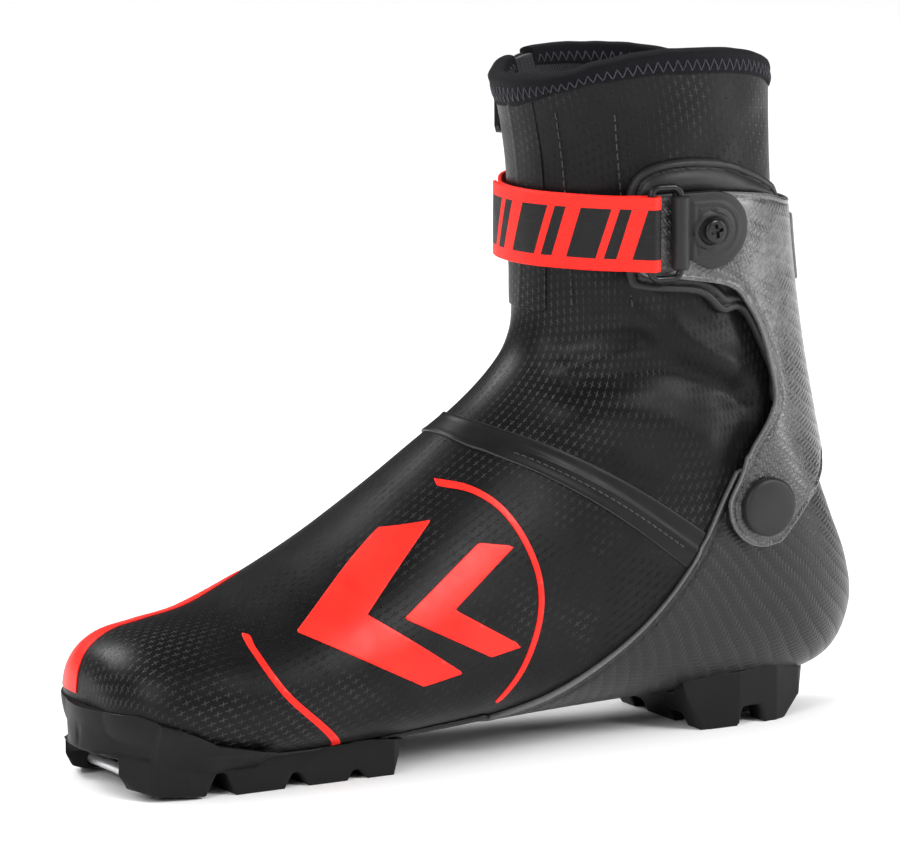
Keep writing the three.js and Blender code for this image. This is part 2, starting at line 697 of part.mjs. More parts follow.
function strapTab() {
  const half = tabHeight / 2;
  const outline = [
    new THREE.Vector2(hinge.x, strapHeight - half),
    ...arc(screwX, strapHeight, half, -Math.PI / 2, Math.PI / 2, 12),
    new THREE.Vector2(hinge.x, strapHeight + half),
  ];
  const barrelHalf = ringHeight / 2 - ringWireRadius * 2 - ringCorner;
  const foot = screwSurface(inner) + tabUnderside;
  const bossTop = foot + tabThickness + bossHeight;
  const boss = mirrored(rod(screwX, strapHeight, bossRadius, foot + 1, bossTop), inner);
  const corner = block(hinge.x - 6, hinge.x + 4.8, -far, 0, barrelHalf, barrelHalf + 12);
  const corners = corner.add(corner.mirror([0, 0, 1])).translate(0, 0, strapHeight);
  return skin(tabUnderside, tabUnderside + tabThickness).intersect(prism(outline, -far, 0))
    .add(boss)
    .add(hingeRod(barrelRadius, barrelHalf))
    .subtract(hingeRod(ringWireRadius + fit, half + 5))
    .subtract(screwHoles[0])
    .subtract(corners);
}

// The strap's middle line seen from above: from the outer screw round the shin, through the ring and back.
function strapRoute() {
  const half = strapThickness / 2;
  const onShin = trimThickness + 4 * fit + half;
  const onCuff = tabUnderside + fit + half;
  const second = strapThickness + fit; // how much higher the doubled layer lies
  const shinRound = 0.07; // the strap lies on the shin to here, either side of the middle
  const cuffRound = 0.17; // and stands over the cuff from here
  const run = (from, to, steps, rise) =>
    Array.from({ length: steps + 1 }, (_, i) => {
      const turn = from + ((to - from) * i) / steps;
      const climb = THREE.MathUtils.smoothstep(Math.abs(turn), shinRound, cuffRound);
      return legPoint((turn + 1) % 1, rise + onShin + (onCuff - onShin) * climb);
    });
  const freeEnd = -0.06; // the doubled end stops just past the middle of the shin
  const start = 1 - roundAt(screwX + 11, outer, onCuff);
  const end = roundAt(ringBar.x - 7, inner, onCuff);
  const rear = Math.atan2(hinge.y - ringBar.y, hinge.x - ringBar.x);
  const fold = arc(ringBar.x, ringBar.y, foldRadius, rear + Math.PI / 2, rear - Math.PI / 2, 8);
  return [...run(-start, end, 22, 0), ...fold, ...run(end, freeEnd, 9, second)];
}

function strap() {
  const half = strapWidth / 2;
  const band = plate(ribbon(strapRoute(), strapThickness), strapHeight - half, strapHeight + half);
  return band.subtract(screwHoles[1]);
}

const anchorUnderside = tabUnderside + 4 * fit + strapThickness;
function strapAnchor() {
  const outline = arc(screwX, strapHeight, anchorRadius, 0, 2 * Math.PI, 16).slice(0, 16);
  const disc = skin(anchorUnderside, anchorUnderside + anchorThickness).intersect(prism(outline, 0, far));
  return disc.subtract(screwHoles[1]);
}

// ---------------------------------------------------------------- cuff
const cuffOutline = [
  ...drawn([
    [90, 176], [25, 178], [0, 184], [-22, 187], [-45, 187], [-45, 160], [-30, 157.7], [-14, 154],
    [-7, 147], [-1, 136], [3.8, 117.4], [1.5, 109], [-6, 98], [-10, 89],
  ]),
  ...arc(0, pivotHeight, pivotLobeRadius, 0.93 * Math.PI, 1.69 * Math.PI, 8),
  ...drawn([[24, 84.8], [35, 91.8], [90, 94]]),
];
const withoutHoles = (body, holes) => holes.reduce((left, hole) => left.subtract(hole), body);

function cuffShell() {
  const body = skin(cuffStandOff, cuffOutside).intersect(prism(cuffOutline));
  return withoutHoles(clearOfPivots(body), [...screwHoles, ...nutRooms]);
}

function cuffPad() {
  const outline = drawn([
    [90, 176], [26, 177], [10, 186], [-2, 192], [-15, 196.5], [-30, 198], [-42, 196], [-48, 190],
    [-49.5, 175], [-48, 158], [-44, 154.5], [-24.5, 152], [-15.5, 145], [-6, 144], [6, 124], [14, 110],
    [90, 110],
  ]);
  return withoutHoles(skin(fit, cuffStandOff - fit).intersect(prism(outline)), nutRooms);
}

function rearCuffPlate() {
  const outline = drawn([[5, 150], [90, 149], [90, 172], [5, 173]]);
  const inside = cuffOutside + fit;
  return skin(inside, inside + rearPlateThickness).intersect(prism(outline, -rearPlateHalf, rearPlateHalf));
}

// ---------------------------------------------------------------- collar and trims
const trimOutside = fit + trimThickness;

function collarBinding() {
  const wall = skin(roomOffset - trimThickness, trimOutside);
  const band = wall.intersect(below(rimLine, fit + trimThickness)).subtract(below(rimLine, -bindingHeight));
  const lined = skin(roomOffset, fit).intersect(below(rimLine, fit));
  return band.subtract(lined).subtract(zipSlot);
}

const trimSkin = skin(fit, trimOutside);
const belowBinding = below(rimLine, -bindingHeight - fit);

function rearPullStrip() {
  const rear = block(5, everyX[1], -rearStripHalf, rearStripHalf, 183 * heightScale, top);
  return trimSkin.intersect(rear).intersect(belowBinding);
}

function shinStrip() {
  const outline = drawn([[-140, 146], [-40, 146], [-40, 240], [-140, 240]]);
  const front = prism(outline, -shinStripHalf, shinStripHalf);
  return trimSkin.intersect(front).intersect(belowBinding).subtract(zipSlot);
}

// The tape over the seam: one piece from the inner side over the instep to the zip, one behind the zip.
function seamTapes() {
  const counterRoom = prism(counterOutline).add(prism(ribbon(counterFront, 4 * fit)));
  const along = prism(ribbon(seamLine, seamTapeWidth));
  const tape = trimSkin.intersect(along).subtract(counterRoom).subtract(zipSlot);
  return tape.decompose().sort((a, b) => b.volume() - a.volume());
}

function toeStripe() {
  const outline = points2([
    [-240, 5], [-185, 6], [-162, 12], [-150, 20], [-166, 25], [-200, 27], [-240, 26],
  ]).map((p) => new THREE.Vector2(p.x * lengthScale, p.y * widthScale));
  return skin(fit, fit + stripeThickness).intersect(plate(outline, 33 * heightScale, top));
}

// ---------------------------------------------------------------- the boot
const finishes = {
  fabric: { color: 0x141416, roughness: 0.55, metalness: 0 },
  lining: { color: 0x1c1c22, roughness: 0.9, metalness: 0 },
  binding: { color: 0x14151f, roughness: 0.85, metalness: 0 },
  carbon: { color: 0x2b2c2e, roughness: 0.35, metalness: 0.1 },
  plastic: { color: 0x101010, roughness: 0.5, metalness: 0 },
  rubber: { color: 0x131313, roughness: 0.8, metalness: 0 },
  board: { color: 0x55524c, roughness: 0.9, metalness: 0 },
  red: { color: 0xff2a18, roughness: 0.5, metalness: 0 },
  steel: { color: 0xc8cacc, roughness: 0.25, metalness: 1 },
  blackSteel: { color: 0x202022, roughness: 0.35, metalness: 0.8 },
};

function node(name, body, finish) {
  const { vertProperties, triVerts } = body.asOriginal().simplify(0.03).getMesh();
  const geometry = new THREE.BufferGeometry();
  geometry.setAttribute("position", new THREE.Float32BufferAttribute(vertProperties, 3));
  geometry.setIndex([...triVerts]);
  const mesh = new THREE.Mesh(geometry, new THREE.MeshStandardMaterial(finishes[finish]));
  mesh.name = name;
  return mesh;
}

function foot() {
  const group = new THREE.Group();
  const [innerTape, outerTape] = seamTapes();
  group.add(node("outsole_forefoot", forefootSole(), "rubber"));
  group.add(node("binding_bar", bindingBar(), "steel"));
  group.add(node("outsole_heel", heelSole(), "rubber"));
  group.add(node("sole_plate", solePlate(), "plastic"));
  group.add(node("insole_board", insoleBoard(), "board"));
  group.add(node("footbed", footbed(), "lining"));
  group.add(node("heel_counter", heelCounter(), "carbon"));
  group.add(node("forefoot_cover", forefootCover(), "fabric"));
  group.add(node("heel_quarter", heelQuarter(), "fabric"));
  group.add(node("ankle_panel", anklePanel(), "fabric"));
  group.add(node("liner", liner(), "lining"));
  group.add(node("toe_stripe", toeStripe(), "red"));
  group.add(node("seam_tape_inner", innerTape, "fabric"));
  group.add(node("seam_tape_outer", outerTape, "fabric"));
  for (const [name, parts] of Object.entries(pivots)) {
    group.add(node(`pivot_post_${name}`, parts.post, "steel"));
    group.add(node(`pivot_washer_${name}`, parts.washer, "plastic"));
    group.add(node(`pivot_cap_${name}`, parts.cap, "plastic"));
  }
  return group;
}

function zip() {
  const group = new THREE.Group();
  const low = fabricInside + 0.1;
  const high = -0.2;
  const coilTop = 0.4;
  group.add(node("zip_tape_front", zipStrip(-tapeShift, zipTapeWidth, low, high), "lining"));
  group.add(node("zip_tape_rear", zipStrip(tapeShift, zipTapeWidth, low, high), "lining"));
  group.add(node("zip_coil", zipStrip(0, zipCoilWidth, low, coilTop), "plastic"));
  group.add(node("zip_slider", zipSlider(), "blackSteel"));
  group.add(node("zip_pull", zipPull(), "blackSteel"));
  return group;
}

function cuff() {
  const group = new THREE.Group();
  group.add(node("shaft", shaft(), "fabric"));
  group.add(node("collar_binding", collarBinding(), "binding"));
  group.add(node("rear_pull_strip", rearPullStrip(), "fabric"));
  group.add(node("shin_strip", shinStrip(), "fabric"));
  group.add(node("zip_gusset", zipGusset(), "lining"));
  group.add(node("cuff_shell", cuffShell(), "carbon"));
  group.add(node("cuff_pad", cuffPad(), "lining"));
  group.add(node("rear_cuff_plate", rearCuffPlate(), "plastic"));
  group.add(node("strap_tab", strapTab(), "plastic"));
  group.add(node("strap_ring", strapRing(), "blackSteel"));
  const onBoss = tabUnderside + tabThickness + bossHeight + fit;
  const onAnchor = anchorUnderside + anchorThickness + 2 * fit;
  group.add(node("tab_screw", screw(inner, onBoss), "blackSteel"));
  group.add(node("tab_nut", screwNut(inner), "steel"));
  group.add(node("strap", strap(), "red"));
  group.add(node("strap_anchor", strapAnchor(), "plastic"));
  group.add(node("anchor_screw", screw(outer, onAnchor), "blackSteel"));
  group.add(node("anchor_nut", screwNut(outer), "steel"));
  return group;
}

const boot = new THREE.Group();
boot.add(foot(), zip(), cuff());

export default boot;
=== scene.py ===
import json
import math
from contextlib import contextmanager

import bmesh
import bpy
import numpy as np
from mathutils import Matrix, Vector
from mathutils.bvhtree import BVHTree
from mathutils.noise import noise


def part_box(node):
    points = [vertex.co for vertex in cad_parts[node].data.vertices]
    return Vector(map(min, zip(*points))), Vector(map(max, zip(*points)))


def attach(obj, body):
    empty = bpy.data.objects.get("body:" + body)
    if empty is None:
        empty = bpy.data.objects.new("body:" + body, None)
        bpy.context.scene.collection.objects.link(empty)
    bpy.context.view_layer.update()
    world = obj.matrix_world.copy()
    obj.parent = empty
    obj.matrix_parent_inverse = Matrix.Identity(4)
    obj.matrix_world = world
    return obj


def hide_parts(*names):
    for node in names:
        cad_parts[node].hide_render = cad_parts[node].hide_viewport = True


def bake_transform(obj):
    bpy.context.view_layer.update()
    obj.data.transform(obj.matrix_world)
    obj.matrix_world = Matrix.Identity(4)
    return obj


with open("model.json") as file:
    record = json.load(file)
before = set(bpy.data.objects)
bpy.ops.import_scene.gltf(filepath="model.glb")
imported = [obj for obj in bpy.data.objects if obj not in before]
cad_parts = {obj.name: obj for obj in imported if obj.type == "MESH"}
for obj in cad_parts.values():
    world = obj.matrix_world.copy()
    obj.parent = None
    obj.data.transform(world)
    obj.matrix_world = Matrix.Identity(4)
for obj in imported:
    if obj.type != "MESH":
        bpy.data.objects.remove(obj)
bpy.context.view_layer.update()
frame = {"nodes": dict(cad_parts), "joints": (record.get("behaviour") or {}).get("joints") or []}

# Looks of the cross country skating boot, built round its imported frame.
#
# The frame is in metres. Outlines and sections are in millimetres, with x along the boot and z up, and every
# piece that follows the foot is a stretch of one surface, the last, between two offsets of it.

MM = 0.001
JOINTS = {joint["name"]: joint for joint in frame["joints"]}


def box_mm(node):
    low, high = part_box(node)
    return np.array(low) / MM, np.array(high) / MM


LENGTH = -box_mm("forefoot_cover")[0][0] / 235
HEIGHT = box_mm("shaft")[1][2] / 231

# -------------------------------------------------------------------------------- the last
# top x, top z, bottom x, bottom z, inner half, outer half, where it is widest, squareness above and below
SECTIONS = np.array([
    [-235, 30, -235, 30, 0, 0, 0.5, 2, 2],
    [-234, 39, -234, 19.5, 15, 15, 0.5, 2.1, 2.2],
    [-230, 46, -229, 13, 25, 25, 0.47, 2.2, 2.4],
    [-221, 51, -221, 10.5, 33, 33, 0.44, 2.2, 2.6],
    [-207, 53, -208, 10, 38.5, 39.5, 0.42, 2.2, 2.8],
    [-188, 56, -190, 9.5, 42.5, 45, 0.4, 2.15, 2.8],
    [-166, 65, -168, 9.5, 45, 49, 0.36, 2.1, 2.8],
    [-144, 77, -143, 10, 45, 51, 0.34, 2, 2.8],
    [-122, 92, -115, 11, 43, 50, 0.33, 1.95, 2.8],
    [-103, 106, -82, 12, 40, 46, 0.34, 1.95, 2.7],
    [-90, 115.5, -47, 12.5, 38, 41, 0.38, 2, 2.6],
    [-81, 123.5, -10, 13, 38, 39, 0.42, 2.05, 2.6],
    [-75, 131, 22, 13.5, 38, 38.5, 0.45, 2.1, 2.5],
    [-72, 138, 43, 19, 38, 38.5, 0.47, 2.15, 2.5],
    [-70.5, 145, 51.5, 33, 38, 38.5, 0.48, 2.15, 2.5],
    [-70, 152, 50, 48, 38, 38.5, 0.48, 2.15, 2.5],
    [-69.7, 160, 43.5, 64, 38, 38.5, 0.48, 2.15, 2.5],
    [-69.7, 168, 37, 82, 38, 38.5, 0.49, 2.15, 2.4],
    [-70, 177, 32, 103, 37.5, 37.5, 0.49, 2.15, 2.4],
    [-70.5, 187, 28, 126, 37, 37, 0.5, 2.1, 2.3],
    [-71.5, 198, 24.5, 152, 37, 37, 0.5, 2.1, 2.2],
    [-73.5, 210, 22, 178, 37.5, 37.5, 0.5, 2.05, 2.15],
    [-76, 220, 21, 200, 39, 39, 0.5, 2, 2.1],
    [-79, 228, 21, 217, 40, 40, 0.5, 2, 2],
    [-84, 246, 21, 238, 42, 42, 0.5, 2, 2],
])


def catmull_rom(points, place):
    """The points' smooth curve at places counted in points, one row each."""
    last = len(points) - 1
    whole = np.clip(np.floor(place).astype(int), 0, last - 1)
    t = (place - whole)[:, None]
    p0, p1 = points[np.maximum(whole - 1, 0)], points[whole]
    p2, p3 = points[whole + 1], points[np.minimum(whole + 2, last)]
    v0, v1 = (p2 - p0) / 2, (p3 - p1) / 2
    return (2 * p1 - 2 * p2 + v0 + v1) * t**3 + (3 * p2 - 3 * p1 - 2 * v0 - v1) * t**2 + v0 * t + p1


def distances(path):
    """How far along the path each of its points lies."""
    return np.concatenate([[0], np.cumsum(np.linalg.norm(np.diff(path, axis=0), axis=1))])


def directions(path):
    """The path's unit direction at each of its points."""
    run = np.gradient(path, axis=0)
    return run / np.linalg.norm(run, axis=1)[:, None]


def last_point(along, turn):
    """along: 0 at the toe to 1 above the collar. turn: 0 on top, 0.25 inner side, 0.5 sole or heel."""
    values = catmull_rom(SECTIONS, np.clip(along, 0, 1) * (len(SECTIONS) - 1)).T
    top_x, top_z, low_x, low_z, inner, outer, widest, square_top, square_low = values
    up = np.cos(2 * np.pi * turn)
    across = np.sin(2 * np.pi * turn)
    power = 2 / np.where(up > 0, square_top, square_low)
    reach = np.where(up > 0, 1 - widest, widest)
    height = widest + np.sign(up) * reach * np.abs(up) ** power
    half = np.maximum(np.where(across > 0, inner, outer), 0)
    x = (low_x + (top_x - low_x) * height) * LENGTH
    y = -np.sign(across) * half * np.abs(across) ** power
    z = (low_z + (top_z - low_z) * height) * HEIGHT
    return np.stack([x, y, z], 1)


def last_normal(along, turn, step=0.003):
    before, after = np.maximum(along - step, 2e-4), np.minimum(along + step, 1)
    lengthwise = last_point(after, turn) - last_point(before, turn)
    crosswise = last_point(along, turn + step) - last_point(along, turn - step)
    normal = np.cross(crosswise, lengthwise)
    normal /= np.maximum(np.linalg.norm(normal, axis=1), 1e-9)[:, None]
    normal[along < 1e-4] = (-1, 0, 0)
    return normal


def cloth_grids(count=260):
    """How far each point of the last lies from the toe and from the top line, along its surface."""
    along = np.linspace(0.0005, 1, count)
    turn = np.linspace(-0.5, 0.5, count)
    points = last_point(np.repeat(along, count), np.tile(turn, count)).reshape(count, count, 3)
    step_along = np.linalg.norm(np.diff(points, axis=0), axis=2)
    step_turn = np.linalg.norm(np.diff(points, axis=1), axis=2)
    side = int(count * 0.3)
    run = np.concatenate([[0], np.cumsum(step_along[:, side])])
    width = np.concatenate([np.zeros((count, 1)), np.cumsum(step_turn, axis=1)], 1)
    width -= width[:, count // 2][:, None]
    return along, turn, run, width


GRID_ALONG, GRID_TURN, GRID_RUN, GRID_WIDTH = cloth_grids()


def cloth_place(along, turn):
    count = len(GRID_ALONG)
    turn = (turn + 0.5) % 1 - 0.5 + (turn == 0.5)
    i = np.clip(np.interp(along, GRID_ALONG, np.arange(count)), 0, count - 1.001)
    j = np.clip(np.interp(turn, GRID_TURN, np.arange(count)), 0, count - 1.001)
    a, b = i.astype(int), j.astype(int)
    s, t = i - a, j - b
    low = GRID_WIDTH[a, b] * (1 - t) + GRID_WIDTH[a, b + 1] * t
    high = GRID_WIDTH[a + 1, b] * (1 - t) + GRID_WIDTH[a + 1, b + 1] * t
    return np.stack([np.interp(along, GRID_ALONG, GRID_RUN), low * (1 - s) + high * s], 1)


# -------------------------------------------------------------------------------- outlines
def scaled(points):
    return np.array(points, float) * (LENGTH, HEIGHT)


def curve_through(points, corners=(), closed=True, steps=6):
    """A smooth line through the points, broken at the points whose numbers are in corners."""
    points = np.array(points, float)
    count = len(points)
    spans = count if closed else count - 1
    out = []
    for i in range(spans):
        p0, p1 = points[i - 1], points[i]
        p2, p3 = points[(i + 1) % count], points[(i + 2) % count]
        if i in corners or (not closed and i == 0):
            p0 = p1 * 2 - p2
        if (i + 1) % count in corners or (not closed and i == spans - 1):
            p3 = p2 * 2 - p1
        t = np.linspace(0, 1, steps, endpoint=False)[:, None]
        v0, v1 = (p2 - p0) / 2, (p3 - p1) / 2
        out.append((2 * p1 - 2 * p2 + v0 + v1) * t**3 + (3 * p2 - 3 * p1 - 2 * v0 - v1) * t**2 + v0 * t + p1)
    if not closed:
        out.append(points[-1:])
    return np.concatenate(out)


def inside(points, outline):
    """Distance to a closed outline in the side view, positive inside it."""
    x, z = points[:, 0], points[:, 2]
    distance = np.full(len(points), np.inf)
    within = np.zeros(len(points), bool)
    for p, q in zip(outline, np.roll(outline, -1, 0)):
        edge = q - p
        length = edge @ edge
        if length < 1e-12:
            continue
        t = np.clip(((x - p[0]) * edge[0] + (z - p[1]) * edge[1]) / length, 0, 1)
        distance = np.minimum(distance, np.hypot(x - p[0] - t * edge[0], z - p[1] - t * edge[1]))
        if p[1] != q[1]:
            crosses = ((p[1] > z) != (q[1] > z)) & (x < (q[0] - p[0]) * (z - p[1]) / (q[1] - p[1]) + p[0])
            within ^= crosses
    return np.where(within, distance, -distance)


def near_line(points, line):
    """Distance to an open line in the side view."""
    x, z = points[:, 0], points[:, 2]
    distance = np.full(len(points), np.inf)
    for p, q in zip(line[:-1], line[1:]):
        edge = q - p
        t = np.clip(((x - p[0]) * edge[0] + (z - p[1]) * edge[1]) / (edge @ edge), 0, 1)
        distance = np.minimum(distance, np.hypot(x - p[0] - t * edge[0], z - p[1] - t * edge[1]))
    return distance


def above(points, line):
    """How far above a line that runs along x, measured up."""
    return points[:, 2] - np.interp(points[:, 0], line[:, 0], line[:, 1])


RIM = curve_through(scaled([
    [-150, 219], [-79, 222.5], [-60, 227.5], [-40, 230.5], [-10, 229.5], [8, 226], [21, 221], [70, 213],
]), closed=False)
RIM_TILT = 0.07  # the collar stands higher on the inner side


def above_rim(points):
    return above(points, RIM) + points[:, 1] * RIM_TILT


SEAM = curve_through(scaled([
    [-124, 130], [-101, 110], [-93, 106], [-79, 100], [-64, 92], [-48, 82], [-24, 65],
]), closed=False)
QUARTER = scaled([[-24, 65], [-12, 87], [15, 88.5], [80, 89]])
WAIST = scaled([[-24, 65], [-60, -10]])
ZIP = curve_through(scaled([
    [-51, 242], [-54, 222], [-58, 190], [-59, 168], [-61, 146],
    [-68, 124], [-84, 104], [-104, 86], [-128, 70],
]), closed=False)
PIVOT_Z = JOINTS["cuff_pivot"]["pos_m"][2] / MM
STRAP_Z = JOINTS["ring_swing"]["pos_m"][2] / MM
SCREW_X = (box_mm("tab_screw")[0][0] + box_mm("tab_screw")[1][0]) / 2
OUTER, INNER = 1, -1


# -------------------------------------------------------------------------------- patches
GIRTH = 270  # about the last's distance round, which sets how fine its pieces are


class Patch:
    """A stretch of the last as polygons over (along, turn), trimmed where distance falls below nought."""

    def __init__(self, distance, along=(0.0, 1.0), turn=(-0.5, 0.5), pitch=1.3):
        start, end = np.interp(along, GRID_ALONG, GRID_RUN)
        rows = max(int((end - start) / pitch), 4)
        columns = max(int(GIRTH * (turn[1] - turn[0]) / pitch), 4)
        a, t = np.meshgrid(np.linspace(*along, rows + 1), np.linspace(*turn, columns + 1), indexing="ij")
        self.place = list(zip(a.ravel(), t.ravel()))
        self.distance = list(distance(last_point(a.ravel(), t.ravel())))
        step = columns + 1
        self.faces = [
            [i * step + j, i * step + j + 1, (i + 1) * step + j + 1, (i + 1) * step + j]
            for i in range(rows) for j in range(columns)
        ]
        self.cut(0, drop=True)

    def cut(self, level, drop=False, snap=0.04):
        """Splits the polygons along a level of the distance, and drops those below it if asked."""
        value = [0.0 if abs(d - level) < snap else d - level for d in self.distance]
        made, kept = {}, []
        for face in self.faces:
            high = max(value[i] for i in face)
            low = min(value[i] for i in face)
            if low >= 0 or high <= 0:
                if high > 0 or not drop:
                    kept.append(face)
                continue
            upper, lower = [], []
            for i, j in zip(face, face[1:] + face[:1]):
                if value[i] >= 0:
                    upper.append(i)
                if value[i] <= 0:
                    lower.append(i)
                if value[i] * value[j] < 0:
                    key = (min(i, j), max(i, j))
                    if key not in made:
                        t = value[key[0]] / (value[key[0]] - value[key[1]])
                        (a0, t0), (a1, t1) = self.place[key[0]], self.place[key[1]]
                        self.place.append((a0 + (a1 - a0) * t, t0 + (t1 - t0) * t))
                        self.distance.append(level)
                        made[key] = len(self.place) - 1
                    upper.append(made[key])
                    lower.append(made[key])
            if len(upper) > 2:
                kept.append(upper)
            if len(lower) > 2 and not drop:
                kept.append(lower)
        self.faces = kept

    def tidy(self):
        """Drops the points that no polygon uses, and returns the numbers as arrays."""
        used = sorted({i for face in self.faces for i in face})
        number = {old: new for new, old in enumerate(used)}
        self.faces = [[number[i] for i in face] for face in self.faces]
        self.place = [self.place[i] for i in used]
        self.distance = [self.distance[i] for i in used]
        return np.array(self.place), np.array(self.distance)


WELD = 2e-6  # metres
ROUNDING = [1 - math.cos(math.radians(angle)) for angle in (22.5, 45, 67.5, 90)]


def edge_drop(distance, radius):
    """How far a rounded edge lies below the face, from the distance to the edge."""
    if radius <= 0:
        return np.zeros_like(distance)
    short = np.clip(radius - distance, 0, radius)
    return radius - np.sqrt(np.maximum(radius**2 - short**2, 0))


def border(faces):
    """The edges that only one face uses, in that face's direction."""
    count = {}
    for face in faces:
        for i, j in zip(face, face[1:] + face[:1]):
            key = (min(i, j), max(i, j))
            count[key] = None if key in count else (i, j)
    return [edge for edge in count.values() if edge]


@contextmanager
def edited(mesh):
    """The mesh as a bmesh, written back at the end."""
    shape = bmesh.new()
    shape.from_mesh(mesh)
    yield shape
    shape.to_mesh(mesh)
    shape.free()


def link(name, points, faces, cloth=None, sharp=None):
    """A mesh object from points in millimetres, welded where they meet."""
    mesh = bpy.data.meshes.new(name)
    mesh.from_pydata((np.asarray(points) * MM).tolist(), [], faces)
    if cloth is not None:
        layer = mesh.attributes.new("cloth", "FLOAT_VECTOR", "POINT")
        if cloth.shape[1] == 2:
            cloth = np.c_[cloth, np.full(len(cloth), 99)]
        layer.data.foreach_set("vector", cloth.astype(np.float32).ravel())
    with edited(mesh) as shape:
        bmesh.ops.remove_doubles(shape, verts=shape.verts, dist=WELD)
        bmesh.ops.dissolve_degenerate(shape, edges=shape.edges, dist=WELD)
    mesh.shade_smooth()
    if sharp:
        mesh.set_sharp_from_angle(angle=math.radians(sharp))
    obj = bpy.data.objects.new(name, mesh)
    bpy.context.scene.collection.objects.link(obj)
    return obj


def shell(name, patch, low, high, radius=0.0, relief=None, levels=(), sharp=None):
    """A closed skin between two offsets of the last, with its outer edge rounded."""
    for share in ROUNDING if radius > 0 else ():
        patch.cut(share * radius)
    for level in levels:
        patch.cut(level)
    place, distance = patch.tidy()
    along, turn = place.T
    ground, normal = last_point(along, turn), last_normal(along, turn)
    rise = np.full(len(ground), float(high)) - edge_drop(distance, radius)
    floor = np.full(len(ground), float(low))
    if relief is not None:
        lift = relief(ground, distance)
        rise += lift
        floor += np.minimum(lift, 0)
    count = len(ground)
    points = np.concatenate([ground + normal * rise[:, None], ground + normal * floor[:, None]])
    faces = [face[::-1] for face in patch.faces]
    faces += [[i + count for i in face] for face in patch.faces]
    faces += [[i, j, j + count, i + count] for i, j in border(patch.faces)]
    cloth = np.tile(np.c_[cloth_place(along, turn), distance], (2, 1))
    return link(name, points, faces, cloth, sharp)


def surface_at(x, z, side):
    """Where the last shows at (x, z) in the side view: its place, point and normal."""
    start = 0 if side == INNER else 0.5
    best, reach = (0.6, start + 0.25), 0.4
    while reach > 1e-5:
        a, t = np.meshgrid(best[0] + reach * np.linspace(-1, 1, 17), best[1] + reach * np.linspace(-1, 1, 17))
        a, t = np.clip(a.ravel(), 0.01, 1), np.clip(t.ravel(), start, start + 0.5)
        points = last_point(a, t)
        k = np.argmin(np.hypot(points[:, 0] - x, points[:, 2] - z))
        best, reach = (a[k], t[k]), reach / 3
    a, t = np.array([best[0]]), np.array([best[1]])
    return best, last_point(a, t)[0], last_normal(a, t)[0]


def place_on_turn(turn, value):
    """The place along the last, at each turn, where value(points) crosses nought going up."""
    low, high = np.full(len(turn), 0.5), np.full(len(turn), 1.0)
    for _ in range(30):
        middle = (low + high) / 2
        under = value(last_point(middle, turn)) < 0
        low, high = np.where(under, middle, low), np.where(under, high, middle)
    return low


# -------------------------------------------------------------------------------- plain solids
def turned(name, profile, place, axis, segments=48, sharp=35):
    """A round solid from its radii at distances along an axis through a place."""
    axis = Vector(axis).normalized()
    frame_matrix = axis.to_track_quat("Z", "Y").to_matrix()
    rings, points, faces = [], [], []
    for radius, height in profile:
        if radius < 1e-6:
            rings.append([len(points)])
            points.append(Vector(place) + axis * height)
            continue
        rings.append(list(range(len(points), len(points) + segments)))
        for k in range(segments):
            angle = 2 * math.pi * k / segments
            reach = frame_matrix @ Vector((radius * math.cos(angle), radius * math.sin(angle), 0))
            points.append(Vector(place) + axis * height + reach)
    for lower, upper in zip(rings[:-1], rings[1:]):
        for k in range(segments):
            face = [lower[k % len(lower)], lower[(k + 1) % len(lower)],
                    upper[(k + 1) % len(upper)], upper[k % len(upper)]]
            faces.append(list(dict.fromkeys(face)))
    return link(name, points, faces, sharp=sharp)


def tube(path, radius, sides, closed=False, flat=(0, 0, 1)):
    """Points and faces of a round tube along a path, which doesn't run along flat."""
    path = np.array(path, float)
    count = len(path)
    if closed:
        run = np.roll(path, -1, 0) - np.roll(path, 1, 0)
    else:
        run = np.gradient(path, axis=0)
    run /= np.linalg.norm(run, axis=1)[:, None]
    out = np.cross(run, np.array(flat, float))
    out /= np.maximum(np.linalg.norm(out, axis=1), 1e-9)[:, None]
    up = np.cross(out, run)
    radius = np.broadcast_to(radius, count)
    angles = 2 * np.pi * np.arange(sides) / sides
    points = (
        path[:, None]
        + out[:, None] * (radius[:, None] * np.cos(angles))[..., None]
        + up[:, None] * (radius[:, None] * np.sin(angles))[..., None]
    ).reshape(-1, 3)
    faces = []
    for i in range(count if closed else count - 1):
        for k in range(sides):
            a, b = i * sides, (i + 1) % count * sides
            m = (k + 1) % sides
            faces.append([a + k, a + m, b + m, b + k])
    if not closed:
        faces.append(list(range(sides))[::-1])
        faces.append(list(range((count - 1) * sides, count * sides)))
    return points, faces


def joined(parts):
    """Several lists of points and faces as one."""
    points, faces, base = [], [], 0
    for part_points, part_faces in parts:
        points.append(np.asarray(part_points))
        faces += [[i + base for i in face] for face in part_faces]
        base += len(part_points)
    return np.concatenate(points), faces


STITCH_SINK = 0.036


def stitch_row(points, normals, length, gap, radius):
    """A row of straight stitches along a line of points, each a short arched thread."""
    points, normals = np.array(points), np.array(normals)
    run = distances(points)
    parts, start = [], gap
    while start + length < run[-1]:
        places = np.linspace(start, start + length, 5)
        middle = np.stack([np.interp(places, run, points[:, k]) for k in range(3)], 1)
        out = np.stack([np.interp(places, run, normals[:, k]) for k in range(3)], 1)
        rise = np.array([-0.6, 0.5, 0.75, 0.5, -0.6]) * radius - STITCH_SINK
        path = middle + out * rise[:, None]
        parts.append(tube(path, radius, 6, flat=out[2]))
        start += length + gap
    return joined(parts)


def unite(obj, tool):
    """Adds the tool's solid to the object's."""
    modifier = obj.modifiers.new("union", "BOOLEAN")
    modifier.operation = "UNION"
    modifier.object = tool
    modifier.solver = "EXACT"
    bake_modifiers(obj)
    bpy.data.objects.remove(tool)


